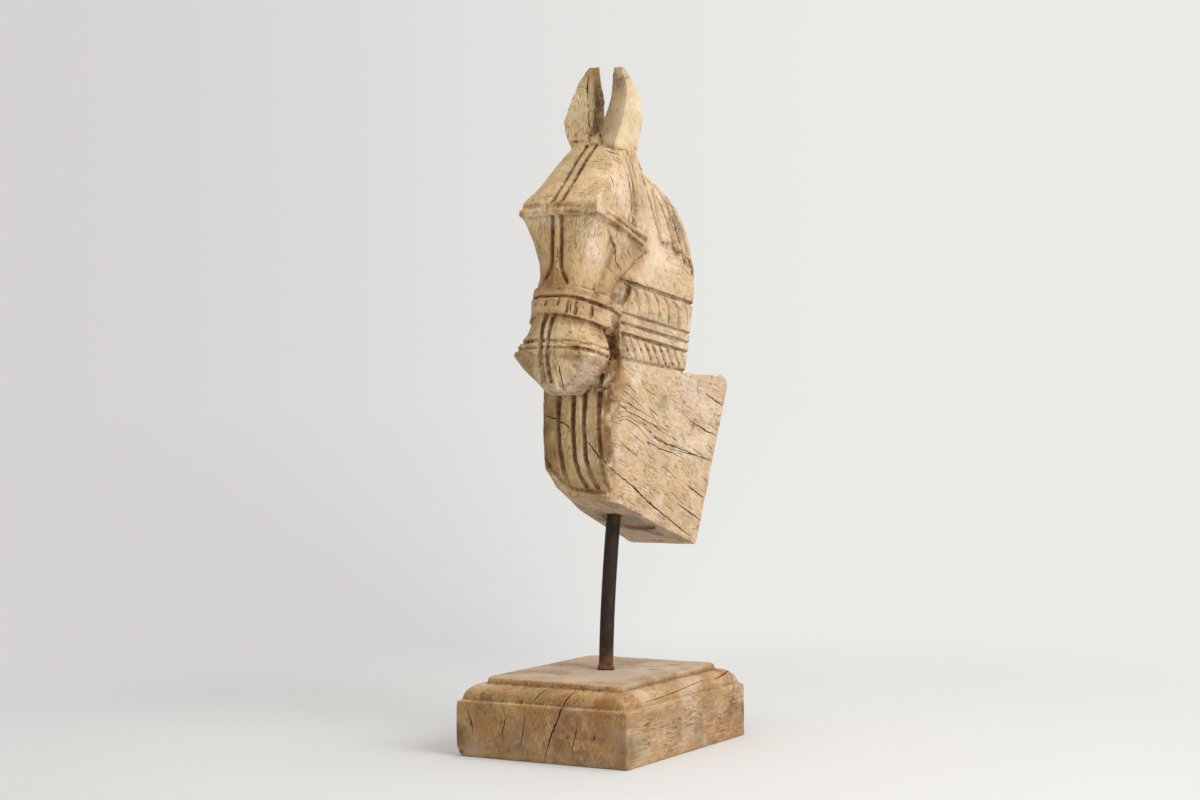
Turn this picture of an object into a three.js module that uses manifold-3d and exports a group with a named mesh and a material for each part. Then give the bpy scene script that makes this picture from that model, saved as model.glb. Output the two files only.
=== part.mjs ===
// Weathered wooden horse head on an iron rod and a moulded wooden plinth.
// Millimetres, +Z up, the horse faces -Y and its left side is +X.
// The origin is the centre of the plinth's underside.
import * as THREE from "three";
import { mergeVertices } from "three/addons/utils/BufferGeometryUtils.js";
import Module from "manifold-3d";

const wasm = await Module();
wasm.setup();

// Plinth
const BASE_WIDTH = 170;
const BASE_DEPTH = 217;
const SLAB_HEIGHT = 48;
const OVOLO_HEIGHT = 13.5;
const FILLET_HEIGHT = 5.5;
const SHELF_WIDTH = 3.5;
const OVOLO_WIDTH = 12.5;
const FILLET_WIDTH = 1.5;
const PLATEAU_RADIUS = 10;
const SLAB_RADIUS = 2;
const BASE_HEIGHT = SLAB_HEIGHT + OVOLO_HEIGHT + FILLET_HEIGHT;
const CHIP_SIZE = 15;

// Rod
const ROD_DIAMETER = 13;
const ROD_REACH = 133;
const ROD_FOOT_Y = 4;
const ROD_LEAN = 16;
const ROD_FOOT_SLOPE = 0.05;
const ROD_HEAD_SLOPE = 0.19;
const BASE_SOCKET_DEPTH = 30;
const HEAD_SOCKET_DEPTH = 48;
const RUST_RING_WIDTH = 2.2;
const RUST_RING_HEIGHT = 2.6;
const FIT_GAP = 0.3;

// Carved head: every figure point below is given at the modelled height
const MODELLED_HEIGHT = 429;
const HEAD_HEIGHT = 429;
const FIGURE_SCALE = HEAD_HEIGHT / MODELLED_HEIGHT;

// Carving sizes at the modelled height
const NECK_HALF = 35;
const CREST_ROUND = 31;
const STRAP_RELIEF = 1.8;
const GROOVE_WIDTH = 3.2;
const GROOVE_DEPTH = 2.2;
const COLLAR_TILT = 0.125;
const LEAF_PITCH = 18.3;
const ROPE_PITCH = 13.5;
const MOUTH_TILT = 0.17;
const FRONT_COLLAR_Y = -43;

const v2 = (x, y) => new THREE.Vector2(x, y);
const v3 = (x, y, z) => new THREE.Vector3(x, y, z);

// Solid modelling helpers

function solidOf(geometry) {
  const bare = geometry.clone();
  bare.deleteAttribute("normal");
  bare.deleteAttribute("uv");
  const merged = mergeVertices(bare, 1e-4);
  const vertProperties = Float32Array.from(merged.attributes.position.array);
  const triVerts = Uint32Array.from(merged.index.array);
  return new wasm.Manifold(new wasm.Mesh({ numProp: 3, vertProperties, triVerts }));
}

function geometryOf(solid) {
  const mesh = solid.getMesh();
  const geometry = new THREE.BufferGeometry();
  geometry.setAttribute("position", new THREE.BufferAttribute(mesh.vertProperties, 3));
  geometry.setIndex(new THREE.BufferAttribute(mesh.triVerts, 1));
  const flat = geometry.toNonIndexed();
  flat.computeVertexNormals();
  return flat;
}

const joined = (solids) => solids.reduce((sum, solid) => sum.add(solid));
const cut = (solid, cutters) => solid.subtract(joined(cutters));

// A closed skin over rings of equally many points, capped at both ends.
function loft(rings) {
  const size = rings[0].length;
  const points = rings.flat();
  const faces = [];
  rings.slice(1).forEach((_, row) => {
    for (let i = 0; i < size; i++) {
      const j = (i + 1) % size;
      const a = row * size + i;
      const b = row * size + j;
      faces.push(a, b, b + size, a, b + size, a + size);
    }
  });
  const last = (rings.length - 1) * size;
  for (const [start, flip] of [[0, true], [last, false]]) {
    const middle = points.length;
    const centre = v3(0, 0, 0);
    for (let i = 0; i < size; i++) centre.addScaledVector(points[start + i], 1 / size);
    points.push(centre);
    for (let i = 0; i < size; i++) {
      const a = start + i;
      const b = start + ((i + 1) % size);
      faces.push(...(flip ? [b, a, middle] : [a, b, middle]));
    }
  }
  let volume = 0;
  for (let i = 0; i < faces.length; i += 3) {
    const [a, b, c] = faces.slice(i, i + 3).map((k) => points[k]);
    volume += a.dot(b.clone().cross(c));
  }
  if (volume < 0) faces.reverse();
  const geometry = new THREE.BufferGeometry();
  geometry.setAttribute("position", new THREE.Float32BufferAttribute(points.flatMap((p) => p.toArray()), 3));
  geometry.setIndex(faces);
  return solidOf(geometry);
}

// A side outline, points (y, z), extruded across X and centred on the mid-plane.
function sidePlate(outline, thickness, rounding = 0, steps = 6) {
  const geometry = new THREE.ExtrudeGeometry(new THREE.Shape(outline), {
    depth: thickness - 2 * rounding,
    steps: 1,
    bevelEnabled: rounding > 0,
    bevelSize: rounding,
    bevelThickness: rounding,
    bevelOffset: -rounding,
    bevelSegments: steps,
  });
  geometry.translate(0, 0, rounding - thickness / 2);
  geometry.applyMatrix4(new THREE.Matrix4().makeBasis(v3(0, 1, 0), v3(0, 0, 1), v3(1, 0, 0)));
  return solidOf(geometry);
}

// A closed body along a path on a surface. Each stop is { at, out }: a point and the way out.
// Profile points are [sideways, outwards].
function along(stops, profile) {
  const rings = stops.map(({ at, out }, i) => {
    const before = stops[Math.max(i - 1, 0)].at;
    const after = stops[Math.min(i + 1, stops.length - 1)].at;
    const ahead = after.clone().sub(before).normalize();
    const side = ahead.clone().cross(out).normalize();
    const lift = side.clone().cross(ahead).normalize();
    return profile.map(([s, o]) => at.clone().addScaledVector(side, s).addScaledVector(lift, o));
  });
  return loft(rings);
}

const vee = (width, depth) => [[-width, depth], [0, -depth], [width, depth]];
const bar = (width, relief) => [
  [-width / 2, -4],
  [-width / 2, relief * 0.6],
  [-width / 4, relief],
  [width / 4, relief],
  [width / 2, relief * 0.6],
  [width / 2, -4],
];
const groove = (stops, width = GROOVE_WIDTH, depth = GROOVE_DEPTH) => along(stops, vee(width, depth));

// A slice across the figure between two heights, read where y = 0, falling towards the back.
function slice(low, high, tilt) {
  const reach = 200;
  const at = (y, z) => v2(y, z - y * tilt);
  return sidePlate([at(-reach, low), at(reach, low), at(reach, high), at(-reach, high)], reach);
}

const sweepOf = (points, count) => new THREE.CatmullRomCurve3(points).getPoints(count);

// Neck and chest

// The crest seen from the side, from the collar's foot up to the ears.
const crestCurve = new THREE.SplineCurve([
  v2(96, 126),
  v2(103, 150),
  v2(110, 178),
  v2(116, 212),
  v2(109, 247),
  v2(87, 280),
  v2(49, 304),
  v2(8, 317),
  v2(-20, 324),
]);

function crestAt(z) {
  const points = crestCurve.getPoints(60);
  const next = points.findIndex((p) => p.y >= z);
  const [a, b] = [points[Math.max(next - 1, 0)], points[Math.max(next, 1)]];
  return THREE.MathUtils.mapLinear(z, a.y, b.y, a.x, b.x);
}

function neck() {
  const crest = crestCurve.getPoints(18).map((p) => v2(p.x, p.y));
  const reach = -140;
  const round = [v2(reach, 60), v2(94, 60), ...crest, v2(reach, 324)];
  const body = sidePlate(round, 2 * NECK_HALF, CREST_ROUND, 5);
  const throat = [
    v2(FRONT_COLLAR_Y - 6, 118),
    v2(140, 118),
    v2(140, 360),
    v2(-2, 360),
    v2(-8, 322),
    v2(-44, 296),
    v2(-72, 274),
    v2(-72, 262),
    v2(-52, 238),
    v2(-50, 214),
    v2(FRONT_COLLAR_Y, 207),
  ];
  return body.intersect(sidePlate(throat, 3 * NECK_HALF));
}

const CHEST_SIDE = [33, 40];
const chestOutline = [
  v2(-68, 116),
  v2(-69, 80),
  v2(-67, 48),
  v2(-62, 22),
  v2(-58, 18),
  v2(86, -29),
  v2(97, -5),
  v2(150, 118),
  v2(147, 124),
  v2(137, 128),
  v2(104, 127),
  v2(70, 131),
  v2(-38, 141),
  v2(-60, 139),
];

// The chest block widens towards the back, so it is cut from a wedge-shaped plan.
// Its lower right edge is worn round, most of all at the front.
const WORN_EDGE = [
  { y: -74, radius: 42 },
  { y: -50, radius: 34 },
  { y: -10, radius: 16 },
  { y: 110, radius: 8 },
];

function chest() {
  const plate = sidePlate(chestOutline, 100);
  const [front, back] = CHEST_SIDE;
  const ring = (z) => [v3(front, -72, z), v3(back, 165, z), v3(-back, 165, z), v3(-front, -72, z)];
  const plan = loft([ring(-60), ring(200)]);
  const worn = [15, 38, 60, 80].map((degrees) => {
    const angle = THREE.MathUtils.degToRad(degrees);
    const stops = WORN_EDGE.map(({ y, radius }) => {
      const side = THREE.MathUtils.mapLinear(y, -72, 165, front, back);
      const foot = THREE.MathUtils.mapLinear(y, -58, 86, 18, -29);
      const x = -side + radius * (1 - Math.cos(angle));
      const z = foot + radius * (1 - Math.sin(angle));
      return { at: v3(x, y, z), out: v3(-Math.cos(angle), 0, -Math.sin(angle)) };
    });
    return along(stops, [
      [-30, 0],
      [30, 0],
      [30, 30],
      [-30, 30],
    ]);
  });
  return cut(plate.intersect(plan), worn);
}

// Head, as level sections: height, front, half-width of the flat front, then points [x, y]
// where the nose turns, where it meets the jaw and where the jaw reaches the side. The top
// ones state how far back they run.
const headSections = [
  { z: 338, front: -22, flat: 14, turn: [20, -20], cheek: [23, -18], side: [26, -16], back: -9 },
  { z: 328, front: -30, flat: 16, turn: [24, -26], cheek: [27, -23], side: [29, -18], back: -11 },
  { z: 317, front: -44, flat: 18, turn: [27.5, -40], cheek: [30, -34], side: [32, -22], back: -3 },
  { z: 294, front: -67, flat: 24, turn: [33.5, -63], cheek: [35, -56], side: [35.4, -40] },
  { z: 276, front: -87, flat: 31, turn: [38, -88], cheek: [36.5, -76], side: [35.6, -60] },
  { z: 266, front: -90, flat: 32, turn: [38.5, -91], cheek: [37, -70], side: [35.6, -56] },
  { z: 256, front: -90, flat: 28, turn: [34.5, -88], cheek: [34.5, -60], side: [35.5, -51] },
  { z: 240, front: -90.5, flat: 19.5, turn: [27.5, -87], cheek: [31.5, -55], side: [35.5, -49] },
  { z: 222, front: -92, flat: 14, turn: [22, -87], cheek: [29.5, -68], side: [35.5, -58] },
  { z: 205, front: -94, flat: 13, turn: [20, -89], cheek: [28, -80], side: [35, -67] },
  { z: 192, front: -102, flat: 12, turn: [19.5, -97], cheek: [29, -82], side: [35, -64] },
  { z: 178, front: -107, flat: 10, turn: [18, -101], cheek: [28, -84], side: [34.5, -64] },
  { z: 162, front: -112, flat: 11, turn: [23, -105], cheek: [31, -92], side: [35, -68] },
  { z: 150, front: -116, flat: 14, turn: [32, -108.5], cheek: [36.5, -92], side: [35.5, -66] },
  { z: 143, front: -117, flat: 15, turn: [36, -109], cheek: [38.5, -92], side: [35.5, -64] },
  { z: 131, front: -115, flat: 12, turn: [27.5, -104], cheek: [30, -88], side: [31, -64] },
  { z: 119, front: -111, flat: 8, turn: [15, -102], cheek: [20, -88], side: [22, -64] },
  { z: 112, front: -104, flat: 6, turn: [10, -96], cheek: [12, -86], side: [14, -64] },
  { z: 109, front: -96, flat: 5, turn: [8, -90], cheek: [9, -80], side: [10, -64] },
];
const MUZZLE_TOP = 164;
const MUZZLE_BACK = 22;
const CHEEK_TOP = 250;

function headRing({ z, front, flat, turn, cheek, side, back = z > CHEEK_TOP ? 4 : -40 }, grow = 0) {
  const behind = z < MUZZLE_TOP ? Math.min(side[0], MUZZLE_BACK) : side[0];
  const half = [
    v3(flat, front - grow, z),
    v3(turn[0] + grow * 0.8, turn[1] - grow * 0.8, z),
    v3(cheek[0] + grow, cheek[1] - grow * 0.4, z),
    v3(side[0] + grow, side[1], z),
    v3(behind + grow, side[1] + 6, z),
    v3(behind + grow, back, z),
  ];
  const mirrored = half.map((p) => v3(-p.x, p.y, p.z)).reverse();
  return [v3(0, front - grow - 0.6, z), ...half, ...mirrored];
}

const head = (grow = 0) => loft(headSections.map((section) => headRing(section, grow)));

// The front of the face at a height, between the sections.
function faceAt(z) {
  const next = headSections.findIndex((s) => s.z <= z);
  const [a, b] = [headSections[Math.max(next - 1, 0)], headSections[Math.max(next, 1)]];
  return THREE.MathUtils.mapLinear(z, a.z, b.z, a.front, b.front);
}

const onFace = (x, z) => ({ at: v3(x, faceAt(z) - 0.4, z), out: v3(0, -1, 0.15) });
const onForehead = (x, z) => ({ at: v3(x, faceAt(z) - 0.4, z), out: v3(0, -0.7, 0.7) });
const onSide = (x, y, z, sign = 1) => ({ at: v3(sign * x, y, z), out: v3(sign, 0, 0) });
const bothSides = (make) => [1, -1].flatMap(make);

// Ears: outer edge, crease or ridge, inner edge and back, each as [x, y].
const rightEar = [
  { z: 308, outer: [32, -16], ridge: [24, -40], inner: [10, -28], back: [20, 14] },
  { z: 322, outer: [35, -14], ridge: [23, -36], inner: [5, -26], back: [21, 14] },
  { z: 338, outer: [38, -13], ridge: [25, -30], inner: [1, -21], back: [22, 12] },
  { z: 353, outer: [41, -12], ridge: [28, -26], inner: [4, -19], back: [24, 8] },
  { z: 370, outer: [38, -13], ridge: [31, -24], inner: [11, -19], back: [24, 2] },
  { z: 386, outer: [31, -14], ridge: [28, -21], inner: [13, -19], back: [21, -4] },
  { z: 398, outer: [22.5, -14], ridge: [22, -18], inner: [14, -18], back: [17, -8] },
];
const leftEar = [
  { z: 318, outer: [-24, -24], ridge: [-12, -40], inner: [-2, -30], back: [-14, 6] },
  { z: 328, outer: [-28, -22], ridge: [-12, -32], inner: [2, -26], back: [-16, 10] },
  { z: 337, outer: [-33, -22], ridge: [-11, -19], inner: [4, -21], back: [-17, 10] },
  { z: 343, outer: [-35, -22], ridge: [-11, -13.5], inner: [4.8, -20], back: [-16, 10.5] },
  { z: 354, outer: [-36, -22], ridge: [-10.5, -12], inner: [5, -18], back: [-14, 10] },
  { z: 370, outer: [-30, -21], ridge: [-9.5, -11.5], inner: [4.6, -17], back: [-11, 7] },
  { z: 387, outer: [-22, -20], ridge: [-9, -12.5], inner: [0.5, -16], back: [-10, 1] },
  { z: 400, outer: [-12.5, -18], ridge: [-8, -15], inner: [-1, -16], back: [-7, -6] },
];

function ear(sections) {
  const rings = sections.map(({ z, outer, ridge, inner, back }) => {
    const behind = new THREE.QuadraticBezierCurve(v2(...inner), v2(...back), v2(...outer)).getPoints(4);
    return [v2(...ridge), ...behind].map((p) => v3(p.x, p.y, z));
  });
  return loft(rings);
}

// Harness

// The browband round the forehead, then two bars side by side down each cheek.
function browband() {
  const front = head(STRAP_RELIEF).intersect(slice(255.7, 263, 0.08));
  const bars = bothSides((sign) =>
    [
      [[-80, 268.5], [-60, 265], [-35, 258], [3, 249]],
      [[-80, 263.5], [-62, 260.5], [-36, 252.5], [-4, 242]],
    ].map((line) => along(line.map(([y, z]) => onSide(35.2, y, z, sign)), bar(5, STRAP_RELIEF + 0.4))),
  );
  const frontOnly = sidePlate([v2(-140, 200), v2(-72, 200), v2(-72, 300), v2(-140, 300)], 120);
  return [front.intersect(frontOnly), ...bars];
}

// The strap down the middle of the face: grooves on the forehead, raised on the nose.
function faceStrap() {
  const nose = along([262, 246, 230, 218].map((z) => onFace(-1.5, z)), bar(7.5, 1.2));
  const triangle = loft([
    [v3(-1.5, faceAt(219) - 1.4, 219), v3(-2.5, faceAt(219) + 3, 219), v3(-0.5, faceAt(219) + 3, 219)],
    [v3(-2, faceAt(204) - 2.4, 204), v3(-14, faceAt(204) + 3, 204), v3(9, faceAt(204) + 3, 204)],
  ]);
  return [nose, triangle];
}

function strapGrooves() {
  const forehead = [-8.6, 0.8].map((x) =>
    groove([330, 324, 317, 296, 277].map((z) => onForehead(x + (z - 276) * 0.02, z)), 4.4, 2.6),
  );
  const nose = [[-6, -15.5], [2.9, 9.7]].map(([x, end]) => {
    const bend = THREE.MathUtils.lerp(x, end, 0.25);
    const line = [[x, 263], [x, 248], [x, 232], [x, 220], [bend, 215], [end, 206]];
    return groove(line.map((stop) => onFace(...stop)), 3, 1.8);
  });
  const muzzle = [-5, 3].map((x) => groove([176, 164, 150, 143, 131, 120].map((z) => onFace(x, z)), 3, 2.2));
  return [...forehead, ...nose, ...muzzle];
}

// Two stacked bands round the nose, the lower one nicked.
const NOSEBAND_TILT = 0.3;
const NICK_WIDTH = 2.2;
const NICK_TOP = 161.7;
const NICKS = [
  { x: -15, length: 8 },
  { x: -4, length: 8 },
  { x: 8, length: 8 },
  { x: 16, length: 14 },
  { x: 22, length: 14 },
  { x: 30, length: 14 },
];

function noseband() {
  const reach = sidePlate([v2(-140, 100), v2(-46, 100), v2(-46, 260), v2(-140, 260)], 120);
  const upper = head(STRAP_RELIEF + 0.8).intersect(slice(164.3, 174.5, NOSEBAND_TILT));
  const lower = head(STRAP_RELIEF + 1.6).intersect(slice(145.5, NICK_TOP, NOSEBAND_TILT));
  const nicks = NICKS.map(({ x, length }) => {
    const plate = new THREE.BoxGeometry(NICK_WIDTH, 70, 60);
    plate.translate(x, -105, 180);
    return solidOf(plate).intersect(slice(NICK_TOP - length, NICK_TOP + 1, NOSEBAND_TILT));
  });
  return cut(upper.add(lower).intersect(reach), [joined(nicks).subtract(head(STRAP_RELIEF))]);
}

// Fine lines round the muzzle and the mouth on each side.
function muzzleLines() {
  const front = sidePlate([v2(-140, 90), v2(-66, 90), v2(-66, 200), v2(-140, 200)], 120);
  const line = (height, half, depth) =>
    slice(height - half, height + half, MOUTH_TILT).subtract(head(-depth)).intersect(front);
  return [line(137, 1.2, 1.3), line(130.5, 1.3, 1.8)];
}

const cheekGrooves = () =>
  bothSides((sign) =>
    [0, 6].map((shift) =>
      groove(
        [
          { at: v3(sign * 31, -37 + shift, 322), out: v3(sign, -0.3, 0.5) },
          { at: v3(sign * 34.5, -31 + shift, 306), out: v3(sign, 0, 0.2) },
          onSide(35, -25 + shift, 282, sign),
          onSide(35, -20 + shift * 0.6, 256, sign),
        ],
        2.8,
        1.6,
      ),
    ),
  );

// The hollow behind the jaw, and the slit between the muzzle and the neck.
const jawHollows = () => {
  const outline = [v2(-39, 209), v2(-22, 205), v2(-26, 196), v2(-40, 187), v2(-58, 189), v2(-50, 199)];
  const pocket = sidePlate(outline, 3 * NECK_HALF).subtract(sidePlate(outline, 2 * NECK_HALF - 9));
  const slits = bothSides((sign) =>
    groove([onSide(35.5, -71, 166, sign), onSide(35.5, -63, 152, sign), onSide(35.5, -52, 140, sign)], 5, 7),
  );
  return [pocket, ...slits];
};

// Mane locks: long grooves that follow the crest and end in a round drop.
function maneLocks() {
  const locks = [
    { start: [-7, 310], bend: [10, 281], tip: [30, 248] },
    { start: [3, 306], bend: [33, 276], tip: [58, 240] },
    { start: [15, 302], bend: [50, 272], tip: [75, 230] },
    { start: [30, 298], bend: [68, 264], tip: [91, 222] },
  ];
  return bothSides((sign) =>
    locks.flatMap(({ start, bend, tip }) => {
      const path = sweepOf([v3(0, ...start), v3(0, ...bend), v3(0, ...tip)], 6);
      const stops = path.map((p) => {
        const room = Math.max(0, p.y - (crestAt(p.z) - CREST_ROUND));
        const inset = CREST_ROUND - Math.sqrt(Math.max(CREST_ROUND ** 2 - room ** 2, 40));
        const out = v3(sign * (CREST_ROUND - inset), room, room * 0.5);
        return { at: v3(sign * (NECK_HALF - inset), p.y, p.z), out: out.normalize() };
      });
      const drop = new THREE.SphereGeometry(4, 8, 5);
      const end = stops[stops.length - 1];
      drop.translate(...end.at.clone().addScaledVector(end.out, 1.4).toArray());
      return [groove(stops, 3.4, 2.2), solidOf(drop)];
    }),
  );
}

// Collar on the neck: grooves all round, a row of leaves, two bands and a twisted rope.
const LEAF_ROW = { bottom: 177, top: 202 };
const ROPE_ROW = { bottom: 138.5, top: 156 };
const COLLAR_LINES = [
  { height: 203.5, depth: 3.2, half: 1.5, tilt: COLLAR_TILT },
  { height: 175.5, depth: 2.4, half: 1, tilt: COLLAR_TILT },
  { height: 166.5, depth: 2, half: 1.2, tilt: COLLAR_TILT },
  { height: 157.5, depth: 2.6, half: 1.3, tilt: COLLAR_TILT },
  { height: 137, depth: 2.2, half: 1.1, tilt: 0.087 },
];

function collarLines() {
  return COLLAR_LINES.map(({ height, depth, half, tilt }) => {
    const inner = (NECK_HALF - depth) / NECK_HALF;
    const core = neck().scale([inner, 1 - depth / 112, 1]);
    const [front, back] = [FRONT_COLLAR_Y - 1, crestAt(height) + 4];
    const behind = sidePlate([v2(front, 100), v2(back, 100), v2(back, 260), v2(front, 260)], 120);
    return slice(height - half, height + half, tilt).subtract(core).intersect(behind);
  });
}

// A point and its way out on the neck's flank and round back, by the distance from the front.
function roundNeck(distance, height, sign) {
  const z0 = height - 50 * COLLAR_TILT;
  const corner = crestAt(z0) - CREST_ROUND;
  const flat = corner - FRONT_COLLAR_Y;
  const beyond = Math.max(0, distance - flat);
  const angle = Math.min(beyond / CREST_ROUND, Math.PI / 2);
  const core = NECK_HALF - CREST_ROUND;
  const y = FRONT_COLLAR_Y + Math.min(distance, flat) + CREST_ROUND * Math.sin(angle);
  const x = core + CREST_ROUND * Math.cos(angle);
  const z = height - y * COLLAR_TILT;
  return { at: v3(sign * x, y, z), out: v3(sign * Math.cos(angle), Math.sin(angle), 0) };
}

// One tooth's outline, as [share of the row's height, share of the pitch towards the back].
const LEAF = [
  [0.03, 0.1],
  [0.4, 0.22],
  [0.75, 0.1],
  [0.97, -0.32],
];
const TWIST = [
  [0.05, 0.45],
  [0.5, 0.08],
  [0.95, -0.45],
];

// The first tooth's place, as a share of the pitch.
const FIRST_TOOTH = 0.55;

function collarRow(bottom, top, pitch, tooth, width) {
  const length = crestAt(bottom) - CREST_ROUND - FRONT_COLLAR_Y + (CREST_ROUND * Math.PI) / 2;
  const count = Math.floor(length / pitch);
  const steps = [...Array(count).keys()];
  return bothSides((sign) =>
    steps.map((i) => {
      const stops = tooth.map(([rise, shift]) =>
        roundNeck((i + FIRST_TOOTH + shift) * pitch, bottom + (top - bottom) * rise, sign),
      );
      return groove(stops, width, 2.6);
    }),
  );
}

const chestProfile = chestOutline.filter((p) => p.x < -50).sort((a, b) => a.y - b.y);

function chestFrontAt(z) {
  const next = Math.max(1, chestProfile.findIndex((p) => p.y >= z));
  const [a, b] = [chestProfile[next - 1], chestProfile[next]];
  return THREE.MathUtils.mapLinear(z, a.y, b.y, a.x, b.x);
}

// Flutes down the chest as [x, z], bending towards the horse's left, and the ledge at their foot.
const FLUTES = [
  [[-16, 134], [-16, 84], [-15, 65], [-12, 42], [-8, 31]],
  [[-1, 134], [-1, 84], [0, 54], [4, 39], [10, 29]],
  [[10, 134], [10, 84], [11, 54], [15, 39], [21, 28]],
  [[25, 134], [25, 84], [26, 49], [28, 34], [32, 27]],
];
const LEDGE = [[-32, 57], [-24, 44], [-13, 33], [-3, 28], [12, 26], [35, 24.5]];

function chestFlutes() {
  const onChest = ([x, z]) => ({ at: v3(x, chestFrontAt(z), z), out: v3(0, -1, z < 50 ? -0.2 : 0) });
  return [
    ...FLUTES.map((line) => groove(line.map(onChest), 4.4, 3)),
    groove(LEDGE.map(onChest), 3.4, 2),
  ];
}

// The pale worn hollow in the underside beside the rod.
function undersideHollow() {
  const disc = new THREE.CylinderGeometry(1, 1, 3, 14);
  disc.rotateX(Math.PI / 2);
  disc.scale(22, 30, 1);
  disc.rotateX(Math.atan2(-48, 154));
  disc.translate(8, 14, -4.2);
  return solidOf(disc);
}

function carvedHead() {
  const rawBody = joined([neck(), chest(), head(), ear(rightEar), ear(leftEar)]);
  const strapped = joined([rawBody, ...browband(), ...faceStrap(), noseband()]);
  const cuts = [
    ...strapGrooves(),
    ...muzzleLines(),
    ...cheekGrooves(),
    ...jawHollows(),
    ...maneLocks(),
    ...collarLines(),
    ...collarRow(LEAF_ROW.bottom, LEAF_ROW.top, LEAF_PITCH, LEAF, 3.8).flat(),
    ...collarRow(ROPE_ROW.bottom, ROPE_ROW.top, ROPE_PITCH, TWIST, 3.4).flat(),
    ...chestFlutes(),
    undersideHollow(),
  ];
  return cut(strapped, cuts.flat()).scale([FIGURE_SCALE, FIGURE_SCALE, FIGURE_SCALE]);
}

// Rod and plinth

const rodFoot = v3(0, ROD_FOOT_Y, BASE_HEIGHT);
const rodHead = v3(0, ROD_FOOT_Y + ROD_LEAN, BASE_HEIGHT + ROD_REACH);

// The rod's centre line, run on straight into both sockets.
function rodLine(extra = 0) {
  const low = BASE_SOCKET_DEPTH + extra;
  const high = HEAD_SOCKET_DEPTH + extra;
  const handle = ROD_REACH / 3;
  const bend = new THREE.CubicBezierCurve3(
    rodFoot,
    rodFoot.clone().add(v3(0, ROD_FOOT_SLOPE * handle, handle)),
    rodHead.clone().sub(v3(0, ROD_HEAD_SLOPE * handle, handle)),
    rodHead,
  );
  const start = rodFoot.clone().sub(v3(0, ROD_FOOT_SLOPE * low, low));
  const end = rodHead.clone().add(v3(0, ROD_HEAD_SLOPE * high, high));
  return new THREE.CatmullRomCurve3([start, ...bend.getPoints(6), end], false, "centripetal");
}

function rodBody(radius, extra = 0) {
  const outline = new THREE.Shape().absarc(0, 0, radius, 0, 2 * Math.PI);
  const sweep = { steps: 12, curveSegments: 8, extrudePath: rodLine(extra) };
  const geometry = new THREE.ExtrudeGeometry(outline, sweep);
  return solidOf(geometry);
}

function rod() {
  const radius = ROD_DIAMETER / 2;
  const ring = new THREE.LatheGeometry(
    [
      v2(0, 0),
      v2(radius + RUST_RING_WIDTH, 0),
      v2(radius + RUST_RING_WIDTH * 0.5, RUST_RING_HEIGHT * 0.5),
      v2(radius, RUST_RING_HEIGHT),
      v2(0, RUST_RING_HEIGHT),
    ],
    16,
  );
  ring.rotateX(Math.PI / 2);
  ring.translate(rodFoot.x, rodFoot.y, rodFoot.z + FIT_GAP);
  return rodBody(radius).add(solidOf(ring));
}

const socket = () => rodBody(ROD_DIAMETER / 2 + FIT_GAP, FIT_GAP);

function plinthRing(inset, z, radius) {
  const shape = new THREE.Shape();
  const [x, y] = [BASE_WIDTH / 2 - inset, BASE_DEPTH / 2 - inset];
  shape.absarc(x - radius, y - radius, radius, 0, Math.PI / 2);
  shape.absarc(-x + radius, y - radius, radius, Math.PI / 2, Math.PI);
  shape.absarc(-x + radius, -y + radius, radius, Math.PI, 1.5 * Math.PI);
  shape.absarc(x - radius, -y + radius, radius, 1.5 * Math.PI, 2 * Math.PI);
  return shape.getPoints(2).map((p) => v3(p.x, p.y, z));
}

// Slab, quarter-round and a small upright fillet under the plateau.
function plinth() {
  const rings = [
    plinthRing(1.2, 0, SLAB_RADIUS),
    plinthRing(0, 1.2, SLAB_RADIUS),
    plinthRing(0, SLAB_HEIGHT - 1, SLAB_RADIUS),
    plinthRing(1, SLAB_HEIGHT, SLAB_RADIUS),
    plinthRing(SHELF_WIDTH, SLAB_HEIGHT, SLAB_RADIUS),
  ];
  const steps = 6;
  for (let i = 0; i <= steps; i++) {
    const angle = (i / steps) * (Math.PI / 2);
    const inset = SHELF_WIDTH + OVOLO_WIDTH * (1 - Math.cos(angle));
    const radius = THREE.MathUtils.lerp(SLAB_RADIUS + 1, PLATEAU_RADIUS, i / steps);
    rings.push(plinthRing(inset + 0.01 * i, SLAB_HEIGHT + 1 + (OVOLO_HEIGHT - 1) * Math.sin(angle), radius));
  }
  const edge = SHELF_WIDTH + OVOLO_WIDTH + FILLET_WIDTH;
  rings.push(plinthRing(edge, SLAB_HEIGHT + OVOLO_HEIGHT, PLATEAU_RADIUS));
  rings.push(plinthRing(edge, BASE_HEIGHT - 1.5, PLATEAU_RADIUS));
  rings.push(plinthRing(edge + 1.6, BASE_HEIGHT, PLATEAU_RADIUS));
  const chip = new THREE.BoxGeometry(CHIP_SIZE, CHIP_SIZE, CHIP_SIZE);
  chip.rotateZ(Math.PI / 4);
  chip.rotateX(-0.9);
  chip.translate(-BASE_WIDTH / 2 - CHIP_SIZE * 0.2, -BASE_DEPTH / 2 - CHIP_SIZE * 0.2, 0);
  return cut(loft(rings), [solidOf(chip)]);
}

// Assembly

const materials = {
  wood: new THREE.MeshStandardMaterial({ color: 0xc3a57c, roughness: 0.85, metalness: 0 }),
  iron: new THREE.MeshStandardMaterial({ color: 0x3a3029, roughness: 0.6, metalness: 0.7 }),
  plinth: new THREE.MeshStandardMaterial({ color: 0xa5845f, roughness: 0.85, metalness: 0 }),
};

function meshOf(name, solid, material) {
  const mesh = new THREE.Mesh(geometryOf(solid), material);
  mesh.name = name;
  return mesh;
}

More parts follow.
